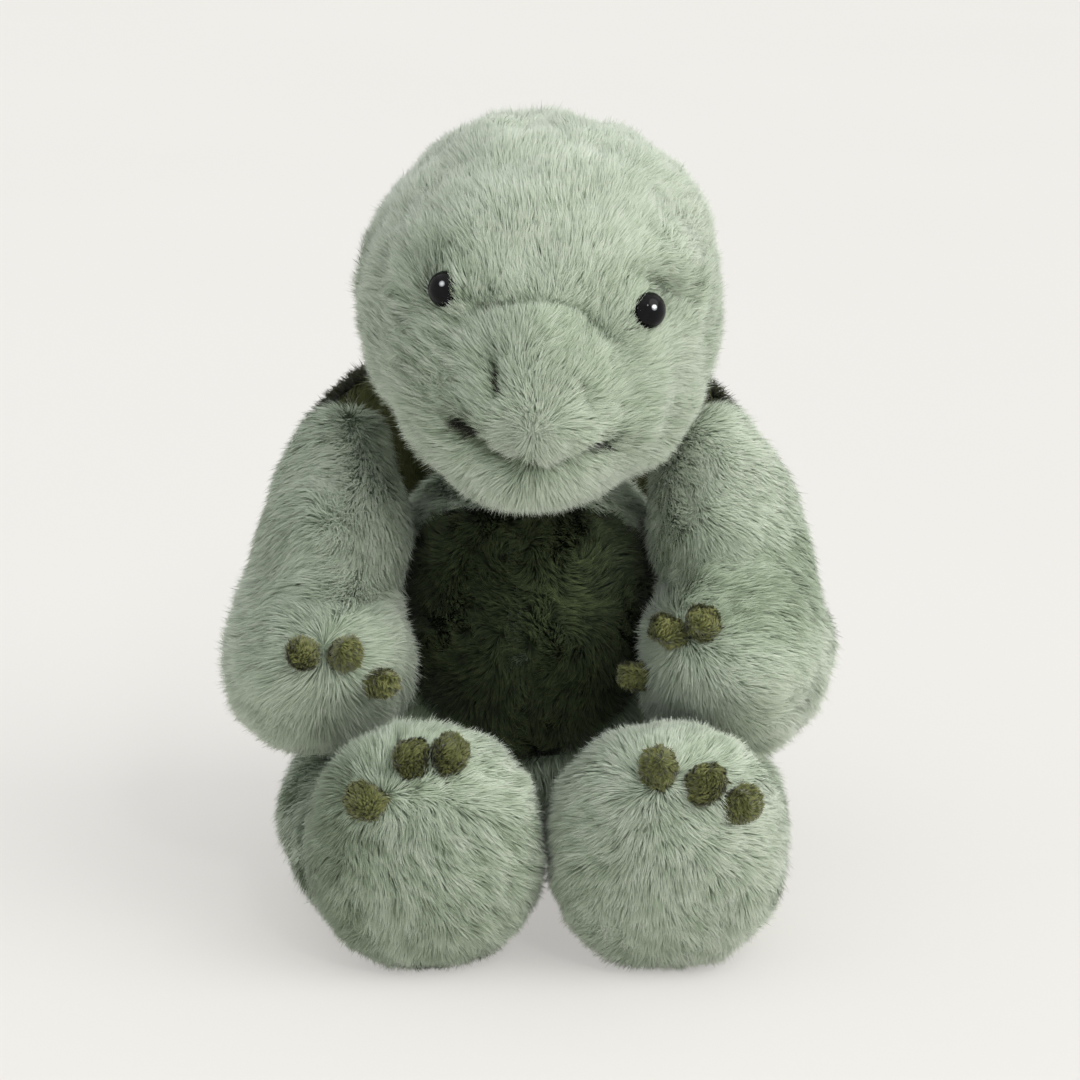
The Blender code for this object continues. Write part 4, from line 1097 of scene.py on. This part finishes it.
def make_leg(name, seed):
    body = "leg_" + name
    hip, middle = HIP[name], FOOT[name]
    away_side_painted_shade, side_painted_light = FOOT_PAINTED_LIGHT_AND_SHADE[name]

    def sculpt(points):
        outer = upper(np.abs(points[:, 0]) - abs(hip[0]), 0.010, 0.02)
        return 0.0040 * outer * lower(points[:, 2], 0.030, 0.02) - 0.0016 * upper(points[:, 2], 0.034, 0.014)

    leg = skin(body + "_skin", leg_form(name), "pale_cloth", body, (body, body + "_stuffing"), sculpt=sculpt)
    form = foot_form(name)
    fur(body + "_pile", leg, 4.2, away((hip[0] * 0.6, 0.01, 0.09)), "pale_pile", body, seed, under=(form,))
    foot = skin(f"foot_{name}_skin", form, "pale_cloth", body, ("foot_" + name, f"foot_{name}_stuffing"),
                depth=FOOT_DEPTH)

    def tint(points):
        # Random patches of darker roots, and each foot's painted light: lighter on the lit left foot, darker on
        # the right
        patches_with_painted_light_and_shade = 0.13 * drift(points, 0.009, seed)[:, 0] + side_painted_light
        # Painted shade: darker towards the floor, and on the side away from the key light
        patches_with_painted_light_and_shade -= 0.12 * lower(points[:, 2], 0.040, 0.04)
        return patches_with_painted_light_and_shade - upper(middle[0] - points[:, 0], 0.010, 0.02) * away_side_painted_shade

    fur(f"foot_{name}_pile", foot, 5.4, away(middle + np.array(TOES[name]), down=0.2), "pale_pile", body,
        seed + 1, under=(leg_form(name),), tint=tint, length=0.0070)
    claws("foot", name, form, middle, body, seed)


def soft_sun(name, aim, strength, spread, colour):
    """Even light from far away, as a big softbox gives."""
    data = settle(bpy.data.lights.new(name, "SUN"), angle=math.radians(spread), energy=strength, color=colour)
    in_scene(name, data).rotation_euler = Vector(aim).to_track_quat("Z", "Y").to_euler()


def make_studio():
    """A pale floor, soft light from the front right and above, and the camera."""
    points = np.array([(x, y, 0.0) for x in (-FLOOR_SIDE, FLOOR_SIDE) for y in (FLOOR_NEAR, FLOOR_FAR)])
    paper, tree, shader = new_material("paper", 0.9, specular=0.1)
    _, tint = grained_ramp(tree, 3.0, 2.0, *PAPER)
    join(tint, "Color", shader, "Base Color")
    # Half of what the camera sees of the floor is its own pale colour, which keeps the shadow faint
    glow = node(tree, "Emission", Color=FLOOR_SEEN, Strength=1.0)
    rays, part = node(tree, "LightPath"), node(tree, "Math", operation="MULTIPLY")
    part.inputs[1].default_value = FLOOR_SEEN_SHARE
    join(rays, "Is Camera Ray", part, 0)
    join_mix(tree, part, 0, shader, glow, "Material Output")
    mesh_object("floor", points, [(0, 2, 3, 1)], paper)

    world = bpy.data.worlds.new("studio")
    bpy.context.scene.world = world
    world.use_nodes = True
    tree = world.node_tree
    backdrop = settle(tree.nodes["Background"], Color=BACKDROP, Strength=1.0)
    room, rays = node(tree, "Background", Color=ROOM, Strength=ROOM_STRENGTH), node(tree, "LightPath")
    seen, output = rays, "Is Camera Ray"
    for kind in ("Is Glossy Ray", "Is Transmission Ray"):
        either = node(tree, "Math", operation="MAXIMUM")
        join(seen, output, either, 0)
        join(rays, kind, either, 1)
        seen, output = either, 0
    join_mix(tree, seen, output, room, backdrop, "World Output")

    for name, settings in SUNS.items():
        soft_sun(name, *settings)
    catch = bpy.data.lights.new("catch", "AREA")
    window = in_scene("catch", settle(catch, shape="DISK", size=CATCH_SIZE, energy=CATCH_POWER))
    window.location = CATCH_PLACE
    window.rotation_euler = (window.location - Vector(CATCH_AIM)).to_track_quat("Z", "Y").to_euler()

    pitch, target = math.radians(CAMERA_PITCH), Vector(CAMERA_TARGET)
    camera = bpy.data.cameras.new("camera")
    seat = in_scene("camera", settle(camera, sensor_width=SENSOR, lens=SENSOR / 2.0 / HALF_VIEW))
    seat.location = target + Vector((0.0, -math.cos(pitch), math.sin(pitch))) * CAMERA_DISTANCE
    seat.rotation_euler = (target - seat.location).to_track_quat("-Z", "Y").to_euler()
    bpy.context.scene.camera = seat
    bpy.context.scene.view_settings.view_transform = "Standard"


look = make_materials()
make_studio()
make_head()
make_body()
for number, side_name in enumerate(SIDES):
    make_arm(side_name, 40 + 50 * number)
    make_leg(side_name, 140 + 50 * number)
